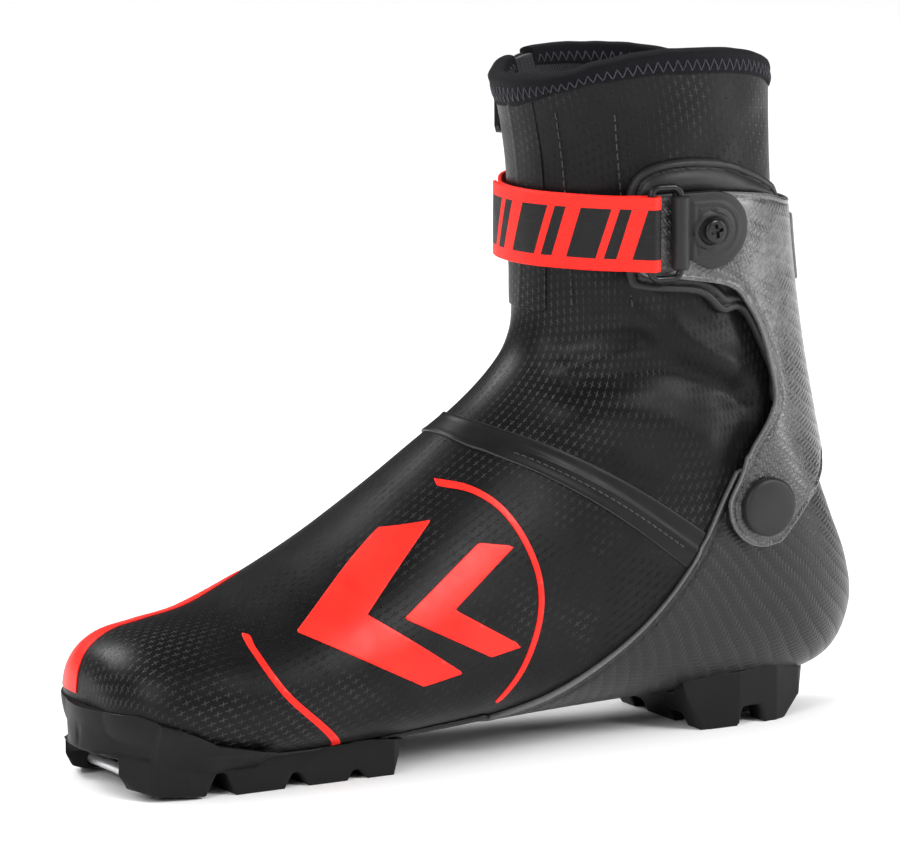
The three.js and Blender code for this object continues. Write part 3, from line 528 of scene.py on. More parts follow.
def bake_modifiers(obj):
    """Puts what the modifiers make into the object's own mesh."""
    bpy.context.view_layer.update()
    graph = bpy.context.evaluated_depsgraph_get()
    made = bpy.data.meshes.new_from_object(obj.evaluated_get(graph))
    obj.modifiers.clear()
    obj.data = made


def moulded(node, name, voxel, rounds, added=None):
    """A node's shape, with another solid added if asked, remade with soft moulded edges."""
    obj = bpy.data.objects.new(name, frame["nodes"][node].data.copy())
    obj.data.materials.clear()
    bpy.context.scene.collection.objects.link(obj)
    if added:
        with edited(obj.data) as both:
            both.from_mesh(added.data)
        bpy.data.objects.remove(added)
    remesh = obj.modifiers.new("even", "REMESH")
    remesh.mode = "VOXEL"
    remesh.voxel_size = voxel * MM
    bake_modifiers(obj)
    with edited(obj.data) as shape:
        for _ in range(rounds):
            bmesh.ops.smooth_vert(shape, verts=shape.verts, factor=0.5, use_axis_x=True, use_axis_y=True,
                                  use_axis_z=True)
    obj.data.shade_smooth()
    return obj


def last_tree(offset):
    """The last's surface at an offset, to find the nearest point of and to cast rays at."""
    rows, columns = 240, 200
    a, t = np.meshgrid(np.linspace(0.002, 1, rows), np.linspace(-0.5, 0.5, columns), indexing="ij")
    a, t = a.ravel(), t.ravel()
    points = (last_point(a, t) + last_normal(a, t) * offset) * MM
    faces = [
        [i * columns + j, i * columns + j + 1, (i + 1) * columns + j + 1, (i + 1) * columns + j]
        for i in range(rows - 1) for j in range(columns - 1)
    ]
    return BVHTree.FromPolygons([Vector(p) for p in points], faces)


# -------------------------------------------------------------------------------- materials
class Shader:
    """A material's node tree, with a short way to write each node."""

    def __init__(self, name):
        self.material = bpy.data.materials.new(name)
        self.material.use_nodes = True
        self.tree = self.material.node_tree
        self.surface = self.tree.nodes["Principled BSDF"]

    def add(self, kind, **settings):
        node = self.tree.nodes.new(kind)
        for key, value in settings.items():
            setattr(node, key, value)
        return node

    def put(self, value, socket):
        if isinstance(value, bpy.types.NodeSocket):
            self.tree.links.new(value, socket)
        else:
            socket.default_value = value

    def math(self, operation, a, b=0.0, c=0.0, clamp=False):
        node = self.add("ShaderNodeMath", operation=operation, use_clamp=clamp)
        for value, socket in zip((a, b, c), node.inputs):
            self.put(value, socket)
        return node.outputs[0]

    def ramp(self, value, low, high, to_low=0.0, to_high=1.0):
        node = self.add("ShaderNodeMapRange", interpolation_type="SMOOTHSTEP")
        for key, number in (("From Min", low), ("From Max", high), ("To Min", to_low), ("To Max", to_high)):
            node.inputs[key].default_value = number
        self.put(value, node.inputs["Value"])
        return node.outputs["Result"]

    def mix(self, factor, a, b):
        node = self.add("ShaderNodeMix", data_type="RGBA")
        self.put(factor, node.inputs["Factor"])
        self.put(a, node.inputs["A"])
        self.put(b, node.inputs["B"])
        return node.outputs["Result"]

    def noise(self, scale, detail=3.0, roughness=0.55, vector=None):
        node = self.add("ShaderNodeTexNoise")
        node.inputs["Scale"].default_value = scale
        node.inputs["Detail"].default_value = detail
        node.inputs["Roughness"].default_value = roughness
        self.put(vector or self.place(), node.inputs["Vector"])
        return node.outputs["Fac"]

    def place(self):
        return self.add("ShaderNodeTexCoord").outputs["Object"]

    def cloth(self):
        """Millimetres along the piece, across it and in from its edge."""
        node = self.add("ShaderNodeAttribute", attribute_name="cloth")
        split = self.add("ShaderNodeSeparateXYZ")
        self.tree.links.new(node.outputs["Vector"], split.inputs[0])
        return split.outputs["X"], split.outputs["Y"], split.outputs["Z"]

    def bump(self, height, depth, normal=None):
        """depth in millimetres"""
        node = self.add("ShaderNodeBump")
        node.inputs["Strength"].default_value = 1.0
        node.inputs["Distance"].default_value = depth * MM
        self.put(height, node.inputs["Height"])
        if normal:
            self.put(normal, node.inputs["Normal"])
        return node.outputs["Normal"]

    def finish(self, color, roughness, normal=None, **constants):
        color = color if isinstance(color, bpy.types.NodeSocket) else (*color, 1)
        self.put(color, self.surface.inputs["Base Color"])
        self.put(roughness, self.surface.inputs["Roughness"])
        if normal:
            self.put(normal, self.surface.inputs["Normal"])
        for key, value in constants.items():
            self.surface.inputs[key.replace("_", " ")].default_value = value
        return self.material


def grey(value):
    return (value, value, value * 1.03)


def coated_fabric():
    """Satin coated cloth, embossed with staggered crosses, with a fine skin grain, painted shade in the sunk
    crosses and painted glints on the crosses in patches.
    """
    s = Shader("coated_fabric")
    run, width, _ = s.cloth()
    pitch_run, pitch_width = 4.1, 2.55
    row = s.math("DIVIDE", width, pitch_width)
    shift = s.math("MULTIPLY", s.math("PINGPONG", s.math("FLOOR", row), 1.0), 0.5)
    cell = s.math("ADD", s.math("DIVIDE", run, pitch_run), shift)
    in_cell = s.math("SUBTRACT", s.math("FRACT", cell), 0.5)
    off_run = s.math("ABSOLUTE", s.math("MULTIPLY", in_cell, pitch_run))
    in_row = s.math("SUBTRACT", s.math("FRACT", row), 0.5)
    off_width = s.math("ABSOLUTE", s.math("MULTIPLY", in_row, pitch_width))
    long_arm = s.math("MULTIPLY", s.ramp(off_run, 1.35, 1.6, 1, 0), s.ramp(off_width, 0.07, 0.24, 1, 0))
    short_arm = s.math("MULTIPLY", s.ramp(off_width, 0.75, 1.0, 1, 0), s.ramp(off_run, 0.07, 0.24, 1, 0))
    cross = s.math("MAXIMUM", long_arm, short_arm)
    grain = s.noise(1400, 4, 0.6)
    cloudy = s.noise(38, 4, 0.55)
    height = s.math("SUBTRACT", s.math("MULTIPLY", grain, 0.22), cross)
    normal = s.bump(height, 0.14)
    color = s.mix(s.ramp(cloudy, 0.35, 0.7), (0.0035, 0.0036, 0.004, 1), (0.006, 0.006, 0.0066, 1))
    # Painted glints: noise patches in which the crosses are painted lighter, as if catching the light.
    painted_glint_patches = s.ramp(s.noise(24, 4, 0.6), 0.42, 0.72)
    # Painted shade: the sunk crosses are painted darker.
    color = s.mix(s.math("MULTIPLY", cross, 0.6), color, (0.0018, 0.0018, 0.002, 1))
    color = s.mix(s.math("MULTIPLY", s.math("MULTIPLY", cross, painted_glint_patches), 0.6), color, (0.075, 0.076, 0.078, 1))
    worn = s.ramp(s.noise(70, 5, 0.6), 0.3, 0.7, 0.36, 0.46)
    rough = s.math("SUBTRACT", worn, s.math("MULTIPLY", cross, 0.1))
    return s.finish(color, rough, normal, Specular_IOR_Level=0.16)


def smooth_fabric():
    """The plain tape and strip material, a little glossier than the cloth."""
    s = Shader("smooth_fabric")
    _, _, edge = s.cloth()
    grain = s.noise(2200, 3, 0.6)
    color = s.mix(s.ramp(s.noise(60), 0.35, 0.7), (0.004, 0.004, 0.0044, 1), (0.0068, 0.0068, 0.0072, 1))
    # Painted highlight: the tape is painted lighter along its rounded edges.
    color = s.mix(s.ramp(edge, 0.12, 0.34, 0.7, 0), color, (0.07, 0.07, 0.072, 1))
    rough = s.ramp(s.noise(90, 4), 0.3, 0.7, 0.36, 0.46)
    return s.finish(color, rough, s.bump(grain, 0.03), Specular_IOR_Level=0.2)


def knit(name, dark, light, pitch=1.1, depth=0.25, sheen=0.25):
    """Matt knitted cloth with rows of small loops."""
    s = Shader(name)
    run, width, _ = s.cloth()
    a = s.math("SINE", s.math("MULTIPLY", run, 2 * math.pi / pitch))
    b = s.math("SINE", s.math("MULTIPLY", width, 2 * math.pi / (pitch * 0.75)))
    loops = s.math("MULTIPLY_ADD", s.math("MULTIPLY", a, b), 0.5, 0.5)
    fuzz = s.noise(1600, 4, 0.7)
    height = s.math("ADD", loops, s.math("MULTIPLY", fuzz, 0.7))
    tone = s.mix(s.math("MULTIPLY_ADD", fuzz, 0.5, s.math("MULTIPLY", loops, 0.4)), (*dark, 1), (*light, 1))
    return s.finish(tone, s.ramp(fuzz, 0.3, 0.7, 0.8, 0.95), s.bump(height, depth), Specular_IOR_Level=0.15,
                    Sheen_Weight=sheen, Sheen_Roughness=0.4)


def carbon(name, dark, light, rough_low, rough_high, coat, scuff_and_reflection_strength, painted_reflection_from, tow=1.3, shine=0.5):
    """Two-over-two twill of flat fibre tows under resin, lighter where scuffed, with painted sheen on the
    tows, a painted reflection lightening the upper part and painted highlights on the edges.
    """
    s = Shader(name)
    run, width, edge = s.cloth()
    wave = s.math("MULTIPLY", s.math("SINE", s.math("MULTIPLY", width, 0.21)), 0.25)
    run = s.math("ADD", run, wave)
    diagonal = tow * math.sqrt(2)
    u = s.math("DIVIDE", s.math("ADD", run, width), diagonal)
    v = s.math("DIVIDE", s.math("SUBTRACT", width, run), diagonal)
    step = s.math("FRACT", s.math("DIVIDE", s.math("SUBTRACT", s.math("FLOOR", u), s.math("FLOOR", v)), 4.0))
    warp = s.ramp(step, 0.49, 0.51)
    across_u = s.math("SINE", s.math("MULTIPLY", s.math("FRACT", u), math.pi))
    across_v = s.math("SINE", s.math("MULTIPLY", s.math("FRACT", v), math.pi))
    crown = s.math("ADD", s.math("MULTIPLY", warp, across_u),
                   s.math("MULTIPLY", s.math("SUBTRACT", 1.0, warp), across_v))
    split = s.add("ShaderNodeSeparateXYZ")
    s.put(s.place(), split.inputs[0])
    # Painted reflection: the scuff mask is weighted by height, so the upper part of the piece is painted
    # lighter, as a glossy reflection would make it; the noise in the mask stands for real scuffs.
    high = s.ramp(split.outputs["Z"], painted_reflection_from, painted_reflection_from + 0.045, 0.25, 1)
    scuffs_and_painted_reflection = s.math("MULTIPLY", s.ramp(s.noise(60, 6, 0.62), 0.36, 0.66), high)
    speck = s.ramp(s.noise(520, 5, 0.7), 0.42, 0.66)
    # Painted sheen: the warp tows are painted lighter than the weft and each tow lighter along its crown,
    # standing in for the fibres' directional reflection.
    tone = s.math("MULTIPLY_ADD", warp, 0.45, s.math("MULTIPLY", crown, 0.3))
    color = s.mix(tone, (*dark, 1), (*light, 1))
    # Scuffs, and the painted reflection on the upper part, lighten the colour.
    worn = s.math("MULTIPLY", s.math("MULTIPLY_ADD", speck, 0.6, 0.4), s.math("MULTIPLY", scuffs_and_painted_reflection, scuff_and_reflection_strength))
    color = s.mix(worn, color, (light[0] * 4.0, light[1] * 4.0, light[2] * 4.0, 1))
    # Painted highlight: the piece is painted lighter along its rounded edges.
    color = s.mix(s.ramp(edge, 0.25, 0.6, 0.75, 0), color, (0.16, 0.16, 0.158, 1))
    rough = s.math("MULTIPLY_ADD", warp, -0.07, s.ramp(scuffs_and_painted_reflection, 0, 1, rough_low, rough_high))
    flat = s.math("SUBTRACT", 1.0, s.math("MULTIPLY", scuffs_and_painted_reflection, 0.6))
    height = s.math("MULTIPLY_ADD", speck, 0.25, s.math("MULTIPLY", crown, flat))
    normal = s.bump(height, 0.13)
    return s.finish(color, rough, normal, Specular_IOR_Level=shine, Coat_Weight=coat, Coat_Roughness=0.22)


def grained(name, tone, rough_low, rough_high, grain_scale=900, depth=0.05, shine=0.3):
    """Moulded plastic or rubber with a fine matt grain and a few handling marks."""
    s = Shader(name)
    grain = s.noise(grain_scale, 4, 0.6)
    marks = s.noise(55, 5, 0.65)
    color = s.mix(s.ramp(marks, 0.4, 0.75), (*grey(tone), 1), (*grey(tone * 1.6), 1))
    rough = s.ramp(marks, 0.3, 0.75, rough_low, rough_high)
    return s.finish(color, rough, s.bump(grain, depth), Specular_IOR_Level=shine)


def red_film():
    s = Shader("red_film")
    cloudy = s.noise(45, 3)
    color = s.mix(s.ramp(cloudy, 0.35, 0.7), (0.86, 0.012, 0.006, 1), (0.92, 0.018, 0.009, 1))
    return s.finish(color, s.ramp(s.noise(120, 4), 0.3, 0.7, 0.34, 0.44), s.bump(s.noise(1500, 3), 0.03),
                    Specular_IOR_Level=0.25)


def strap_weave():
    """Red woven strap, printed with slanted black blocks on its outer face."""
    s = Shader("strap_weave")
    run, width, _ = s.cloth()
    leaned = s.math("SUBTRACT", run, s.math("MULTIPLY", width, 0.32))
    block = s.math("FRACT", s.math("DIVIDE", leaned, 23.0))
    wide = s.math("MULTIPLY", s.ramp(block, 0.10, 0.104), s.ramp(block, 0.56, 0.564, 1, 0))
    thin = s.math("MULTIPLY", s.ramp(block, 0.68, 0.684), s.ramp(block, 0.86, 0.864, 1, 0))
    high = s.ramp(s.math("ABSOLUTE", width), 8.3, 8.4, 1, 0)
    print_mask = s.math("MULTIPLY", s.math("MAXIMUM", wide, thin), high)
    rib = s.math("SINE", s.math("MULTIPLY", width, 2 * math.pi / 0.8))
    pick = s.math("SINE", s.math("MULTIPLY", run, 2 * math.pi / 1.1))
    weave = s.math("MULTIPLY", rib, pick)
    red = s.mix(s.math("MULTIPLY_ADD", weave, 0.25, 0.5), (0.86, 0.012, 0.007, 1), (0.95, 0.022, 0.012, 1))
    color = s.mix(print_mask, red, (0.006, 0.006, 0.0065, 1))
    return s.finish(color, s.ramp(s.noise(200, 4), 0.3, 0.7, 0.5, 0.6), s.bump(weave, 0.05),
                    Specular_IOR_Level=0.25)


def steel(name, tone, rough, metallic):
    """Drawn wire or turned metal with fine lengthwise scratches."""
    s = Shader(name)
    stretch = s.add("ShaderNodeMapping")
    stretch.inputs["Scale"].default_value = (60, 1400, 60)
    s.put(s.place(), stretch.inputs["Vector"])
    lines = s.noise(2.0, 5, 0.6, stretch.outputs[0])
    color = s.mix(lines, (*grey(tone * 0.8), 1), (*grey(tone * 1.1), 1))
    brushed = s.ramp(lines, 0.3, 0.7, rough * 0.8, rough * 1.3)
    return s.finish(color, brushed, s.bump(lines, 0.015), Metallic=metallic)


def thread(name, tone):
    s = Shader(name)
    twist = s.noise(2600, 2)
    color = s.mix(twist, (*[v * 0.7 for v in tone], 1), (*[v * 1.3 for v in tone], 1))
    return s.finish(color, 0.7, s.bump(twist, 0.06), Sheen_Weight=0.2)


def fibre_board():
    s = Shader("fibre_board")
    fleck = s.noise(600, 5, 0.7)
    return s.finish(s.mix(fleck, (0.16, 0.15, 0.13, 1), (0.25, 0.23, 0.2, 1)), 0.9, s.bump(fleck, 0.06))


MATERIALS = {
    "fabric": coated_fabric(),
    "tape": smooth_fabric(),
    "lining": knit("lining_knit", (0.006, 0.006, 0.007), (0.022, 0.022, 0.026)),
    "binding": knit("binding_knit", (0.0018, 0.0018, 0.0026), (0.008, 0.008, 0.011), 1.0, 0.35, 0.03),
    "pad": grained("pad_skin", 0.016, 0.42, 0.55, 1300, 0.08),
    "counter": carbon("counter_weave", (0.005, 0.005, 0.0052), (0.019, 0.019, 0.0196),
                      0.36, 0.46, 0.1, 0.12, 0.08, 1.3, 0.3),
    "cuff": carbon("cuff_weave", (0.011, 0.011, 0.011), (0.042, 0.042, 0.0415), 0.26, 0.36, 0.35, 0.85, 0.1),
    "plastic": grained("moulded_plastic", 0.0115, 0.42, 0.55, 1100, 0.035),
    "rubber": grained("sole_rubber", 0.005, 0.45, 0.62, 800, 0.06, 0.17),
    "gloss": grained("glossy_welt", 0.006, 0.18, 0.3, 500, 0.01),
    "red": red_film(),
    "strap": strap_weave(),
    "steel": steel("ground_steel", 0.85, 0.34, 0.85),
    "black_steel": steel("black_steel", 0.02, 0.3, 0.6),
    "thread": thread("black_thread", (0.022, 0.022, 0.025)),
    "binding_thread": thread("binding_thread", (0.016, 0.017, 0.028)),
    "board": fibre_board(),
}


def dress(obj, material, body=None, replaces=()):
    """Gives a piece its material and slot, the body it rides on and the nodes it stands for."""
    obj.data.materials.clear()
    obj.data.materials.append(MATERIALS[material])
    if body:
        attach(obj, body)
    else:
        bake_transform(obj)
    if replaces:
        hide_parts(*replaces)
    return obj


# -------------------------------------------------------------------------------- soft upper
# Soft folds of the cloth over the ankle: a line in the side view, height and half width.
FOLDS = [
    ([[-66, 136], [-55, 141], [-42, 143]], -3.0, 9.5),
    ([[-45, 156], [-36, 145.5], [-29, 138], [-20, 131.5], [-10, 127]], 2.3, 5.2),
    ([[-64, 127], [-54, 130.5], [-45, 134]], 1.7, 4.4),
    ([[-64, 121.5], [-55, 124.5], [-36, 126.5], [-21, 122.5], [-6, 115]], -2.7, 5.2),
    ([[-61, 114], [-52, 114], [-44, 111.5], [-34, 107.5], [-22, 101]], 3.4, 9.5),
    ([[-6, 150], [-2, 128], [-6, 104]], -1.3, 9.0),
    ([[-60, 198], [-50, 214]], -0.9, 9.0),
    ([[-20, 203], [4, 207]], -0.7, 8.0),
    ([[-62, 166], [-54, 150]], 0.9, 6.0),
]


def folds(points):
    lift = np.zeros(len(points))
    for line, height, width in FOLDS:
        away = near_line(points, curve_through(scaled(line), closed=False))
        lift += height * np.exp(-((away / width) ** 2))
    side = np.clip(np.abs(points[:, 1]) / 26, 0, 1)
    clear = np.clip((above(points, SEAM) - 4) / 10, 0, 1)
    return lift * side**2 * (3 - 2 * side) * clear**2 * (3 - 2 * clear)


def ripple(points, size, scale):
    """A slight unevenness, in millimetres, that varies over scale millimetres."""
    return np.array([noise(Vector(p) / scale) for p in points]) * size


def slight(points, distance):
    return ripple(points, 0.25, 30)


def cloth_relief(points, distance):
    """The folds, and an unevenness that grows a little from the sole up to z 85."""
    low = np.clip((85 - points[:, 2]) / 85, 0, 1)
    return folds(points) + ripple(points, 0.35, 22) * (1 - low * 0.3)


FAR = 60  # a distance that never limits an edge


def zip_gap(points, half):
    """Distance out of the zip's slot, on the outer side only."""
    away = near_line(points, ZIP) - half
    return np.where(points[:, 1] > 0, away, FAR)


FIT = 0.3  # the gap between pieces that touch
ZIP_HALF = 4.9  # half the width of the zip's slot


def forefoot_cover():
    def edge(p):
        behind = (WAIST[0, 0] - p[:, 0]) * 0.9 - (p[:, 2] - WAIST[0, 1]) * 0.4 + 4
        return np.minimum.reduce([2.0 - above(p, SEAM), behind, zip_gap(p, ZIP_HALF)])

    patch = Patch(edge, along=(0.0008, 0.62))
    dress(shell("forefoot_cover_cloth", patch, -1.2, 0, 0.3, slight), "fabric", "foot", ["forefoot_cover"])


def leg_cloth():
    def edge(p):
        rear = np.where(p[:, 0] > SEAM[-1, 0], above(p, QUARTER) + 3, above(p, SEAM) + 2)
        return np.minimum(np.minimum(rear, -above_rim(p) - 0.6), zip_gap(p, ZIP_HALF))

    patch = Patch(edge, along=(0.28, 0.985), pitch=1.2)
    dress(shell("leg_cloth", patch, -1.2, 0, 0.3, cloth_relief), "fabric", None, ["shaft", "ankle_panel"])


def heel_cloth():
    def edge(p):
        return np.minimum(16 - above(p, QUARTER), p[:, 0] - WAIST[0, 0] - (p[:, 2] - WAIST[0, 1]) * 0.48 + 4)

    patch = Patch(edge, along=(0.25, 0.9), pitch=2.4)
    relief = lambda p, d: -0.4 - 1.1 * np.clip(above(p, QUARTER) / 4 + 1, 0, 1)
    dress(shell("heel_cloth", patch, -1.3, 0, 0, relief), "fabric", "foot", ["heel_quarter"])


def liner():
    patch = Patch(lambda p: -above_rim(p) - 1.0, along=(0.0008, 0.99), pitch=2.6)
    relief = lambda p, d: np.minimum(folds(p), 0.6)
    dress(shell("liner_knit", patch, -4.5, -1.6, 0, relief), "lining", None, ["liner"])


def seam_tape(name, side):
    """The tape over the seam between the forefoot and the leg, up to the zip and to the heel shell."""

    def edge(p):
        half = np.interp(p[:, 0], [-100, -70, -24], [4.2, 5.2, 6.6])
        limit = np.where(p[:, 1] > 0, near_line(p, ZIP) - ZIP_HALF - 0.4, FAR)
        behind_zip = p[:, 0] - np.interp(p[:, 2], ZIP[::-1, 1], ZIP[::-1, 0])
        if side == OUTER:
            keep = np.minimum(np.where(p[:, 1] > 3, FAR, -FAR), behind_zip)
        else:
            keep = np.where(p[:, 1] > 0, -behind_zip, FAR)
        return np.minimum.reduce([half - near_line(p, SEAM), -counter_distance(p) - 0.6, limit, keep])

    def relief(p, d):
        away = near_line(p, SEAM)
        ridge = 0.75 * np.exp(-((away / 0.8) ** 2)) * np.clip((p[:, 0] + 92) / 12, 0, 1)
        hem = 0.18 * np.exp(-(((d - 0.9) / 0.5) ** 2))
        return ridge + hem

    patch = Patch(edge, along=(0.3, 0.62), pitch=0.8)
    return shell(name, patch, -0.3, 0.75, 0.35, relief)


COUNTER_FRONT = scaled([[-97, 14.5], [-76, 22], [-53, 35], [-37, 48.4], [-24, 64], [-13, 84]])
COUNTER = curve_through(np.concatenate([
    scaled([[90, -10], [-97, -10]]), COUNTER_FRONT, scaled([[-9, 91], [8, 92], [25, 88], [90, 86]]),
]), corners=(0, 1, 2, 7, 8, 11))


def counter_distance(points):
    return inside(points, COUNTER)


def moved(line, shift):
    """A line in the side view, moved to its left."""
    run = directions(line)
    return line + np.stack([-run[:, 1], run[:, 0]], 1) * shift


def seam_tapes():
    for word, side in (("inner", INNER), ("outer", OUTER)):
        dress(seam_tape(f"seam_tape_{word}_strip", side), "tape", "foot", [f"seam_tape_{word}"])
    line = SEAM[(SEAM[:, 0] > -88) & (SEAM[:, 0] < -25)]
    found = [surface_at(x, z, INNER) for x, z in moved(line, -1.6)]
    points = [point + normal * 0.8 for _, point, normal in found]
    normals = [normal for _, _, normal in found]
    dress(link("seam_tape_stitches", *stitch_row(points, normals, 1.7, 0.9, 0.24)), "thread", "foot")


# -------------------------------------------------------------------------------- printed film
def film(name, outline):
    """A thin printed shape on the inner side with the given outline in the side view."""
    patch = Patch(lambda p: inside(p, outline), along=(0.03, 0.6), turn=(0.0, 0.5), pitch=1.0)
    dress(shell(name, patch, -0.3, 0.28, 0.12, slight), "red", "foot")


def stripe_outline(points, width):
    line = curve_through(scaled(points), closed=False)
    return np.concatenate([moved(line, width / 2), moved(line, -width / 2)[::-1]])


def graphics():
    """Plain printed marks on the inner side: two arrowheads between two thin curved lines."""
    large = [[-134, 80], [-119, 82.5], [-150, 56], [-117, 34], [-133, 31.5], [-174, 52]]
    small = [[-106, 75], [-93, 73], [-119, 55], [-93, 40], [-106, 38], [-138, 54]]
    film("arrow_large", scaled(large))
    film("arrow_small", scaled(small))
    front = [[-188.6, 51.5], [-189.3, 47.5], [-187, 40.1], [-181.7, 32.3], [-171.1, 22.7], [-159, 12.5]]
    rear = [[-112.6, 93.3], [-103.6, 91.2], [-95.6, 85.2], [-89.2, 74.6], [-85.3, 61.3], [-86.2, 48.1],
            [-92.1, 33.6], [-100.5, 21]]
    film("line_front", stripe_outline(front, 2.2))
    film("line_rear", stripe_outline(rear, 2.2))


def toe_stripe():
    plan = [[-240, 5], [-222, 7], [-206, 11], [-190, 15], [-165, 22], [-172, 27], [-200, 29], [-240, 26]]
    outline = curve_through(np.array(plan) * (LENGTH, 1), corners=(0, 7, 4))

    def edge(p):
        seen_from_above = inside(p[:, [0, 2, 1]], outline)
        return np.minimum(seen_from_above, p[:, 2] - 31 * HEIGHT)

    patch = Patch(edge, along=(0.004, 0.4), turn=(-0.4, 0.1), pitch=0.8)
    dress(shell("toe_stripe_film", patch, -0.3, 0.35, 0.15, slight), "red", "foot", ["toe_stripe"])


# -------------------------------------------------------------------------------- stiff parts
def heel_counter():
    patch = Patch(counter_distance, along=(0.2, 0.9), pitch=1.1)
    relief = lambda p, d: -0.5 * np.exp(-(((d - 2.2) / 0.5) ** 2)) * (p[:, 2] > 12)
    plate = shell("heel_counter_shell", patch, 0.05, 2.1, 0.9, relief, levels=(1.6, 2.2, 2.8))
    dress(plate, "counter", "foot", ["heel_counter"])


def sole_plate():
    back, front, top = -97.5, -224, 11.5
    outline = scaled([[front, 0], [back, 0], [back, 15], [-150, top], [front, top]])
    patch = Patch(lambda p: inside(p, outline), along=(0.05, 0.45), pitch=1.6)
    dress(shell("sole_plate_sheet", patch, 0.05, 1.6, 0.5), "plastic", "foot", ["sole_plate"])


def welt():
    """The glossy bead where the upper meets the sole plate."""
    places = np.linspace(-196, -100, 60)
    heights = np.interp(places, [-196, -150, -97.5], [12.6, 12.4, 15.6])
    parts = []
    for side in (INNER, OUTER):
        found = [surface_at(x * LENGTH, z * HEIGHT, side) for x, z in zip(places, heights)]
        parts.append(tube([point + normal * 0.5 for _, point, normal in found], 0.75, 8))
    dress(link("welt_bead", *joined(parts)), "gloss", "foot")


TOE_EDGE = np.array([[-238, 28], [-230.5, 28.5], [-222, 26], [-213, 22], [-206, 18.3], [-188, 14.5]])


def toe_edge(x):
    """Height of the toe bumper's upper edge at x, in millimetres."""
    return np.interp(x, TOE_EDGE[:, 0] * LENGTH, TOE_EDGE[:, 1]) * HEIGHT


def toe_wall():
    """Fills the side of the forefoot sole flush from the bumper's edge down to the tread."""
    rim, skin = last_tree(2.4), last_tree(1.3)
    rows = []
    plan = curve_through(np.array([
        [-188, -33], [-200, -33], [-213, -31.5], [-226, -27.5], [-234, -19], [-236.6, -10], [-237.2, 0],
        [-236.6, 10], [-234, 19], [-226, 28.5], [-213, 33.5], [-200, 34.5], [-188, 34.5],
    ]) * (LENGTH, 1), closed=False)
    inward = np.array([-205 * LENGTH, 0])
    for place in plan:
        toward = (inward - place) / np.linalg.norm(inward - place) * (1, 0.9)
        toward = np.array([*toward, 0])
        edge = np.array([*place, toe_edge(place[0])])
        hit, _, _, _ = rim.ray_cast(Vector(edge - toward * 12) * MM, Vector(toward))
        top = np.array(hit) / MM if hit else edge + toward * 2
        low = np.array([*place, 14.2 if abs(place[1]) < 19 else 9])
        row = [top]
        for share in (0.8, 0.6, 0.4, 0.2, 0):
            point = low + (top - low) * share
            hit, _, _, _ = skin.ray_cast(Vector(point - toward * 12) * MM, Vector(toward))
            if hit and np.dot(np.array(hit) / MM - point, toward) < 0:
                point = np.array(hit) / MM
            row.append(point)
        rows.append(row + [low + toward * 7, top + toward * 1.4])
    points = np.concatenate(rows)
    count, size = len(rows), len(rows[0])
    faces = [[i * size + k, i * size + (k + 1) % size, (i + 1) * size + (k + 1) % size, (i + 1) * size + k]
             for i in range(count - 1) for k in range(size)]
    faces += [list(reversed(range(size))), [(count - 1) * size + k for k in range(size)]]
    wall = link("toe_wall", points, faces)
    fix_normals(wall)
    return wall


SOLE_VOXEL = 0.5
BUMPER_END, BUMPER_FOOT = -0.19, 0.0115  # metres, where the toe bumper ends to the rear and below
TOE_ROUND, TOE_ROUND_FROM = 11, -0.224  # how far the toe's corners are drawn back, per square metre of width
HEEL_STRETCH, HEEL_STRETCH_FROM = 0.16, -0.004  # the heel block grows to the rear of this place


def lift_off_cloth(obj):
    """Moves the outer face of the toe wall out to just proud of the cloth."""
    skin = last_tree(0.8)
    middle = Vector((-0.2, 0, 0.03))
    reach, facing = 0.008, 0.25
    with edited(obj.data) as shape:
        shape.normal_update()
        for vert in shape.verts:
            if vert.co.x > BUMPER_END or vert.co.z < BUMPER_FOOT:
                continue
            hit, normal, _, distance = skin.find_nearest(vert.co)
            if normal.dot(hit - middle) < 0:
                normal = -normal
            if distance < reach and (vert.co - hit).dot(normal) < 0 and vert.normal.dot(normal) > facing:
                vert.co = hit


def soles():
    front = moulded("outsole_forefoot", "outsole_forefoot_rubber", SOLE_VOXEL, 3, toe_wall())
    for vert in front.data.vertices:
        if vert.co.x < BUMPER_END:
            vert.co.z = min(vert.co.z, (toe_edge(vert.co.x / MM) + 0.4) * MM)
        ahead = min(max((TOE_ROUND_FROM - vert.co.x) / 0.013, 0), 1)
        vert.co.x += TOE_ROUND * vert.co.y**2 * ahead
    lift_off_cloth(front)
    dress(front, "rubber", "foot", ["outsole_forefoot"])
    rear = moulded("outsole_heel", "outsole_heel_rubber", SOLE_VOXEL, 3)
    for vert in rear.data.vertices:
        vert.co.x += HEEL_STRETCH * max(vert.co.x - HEEL_STRETCH_FROM, 0)
    dress(rear, "rubber", "foot", ["outsole_heel"])
    low, high = box_mm("binding_bar")
    place = (low + high) / 2
    half, radius = (high[1] - low[1]) / 2, (high[2] - low[2]) / 2
    profile = [(0, -half), (radius - 0.3, -half), (radius, 0.3 - half),
               (radius, half - 0.3), (radius - 0.3, half), (0, half)]
    bar = turned("binding_bar_rod", profile, place, (0, 1, 0), 32)
    dress(bar, "steel", "foot", ["binding_bar"])


def footbed():
    bed = dress(moulded("footbed", "footbed_foam", 1.3, 6), "lining", "foot", ["footbed"])


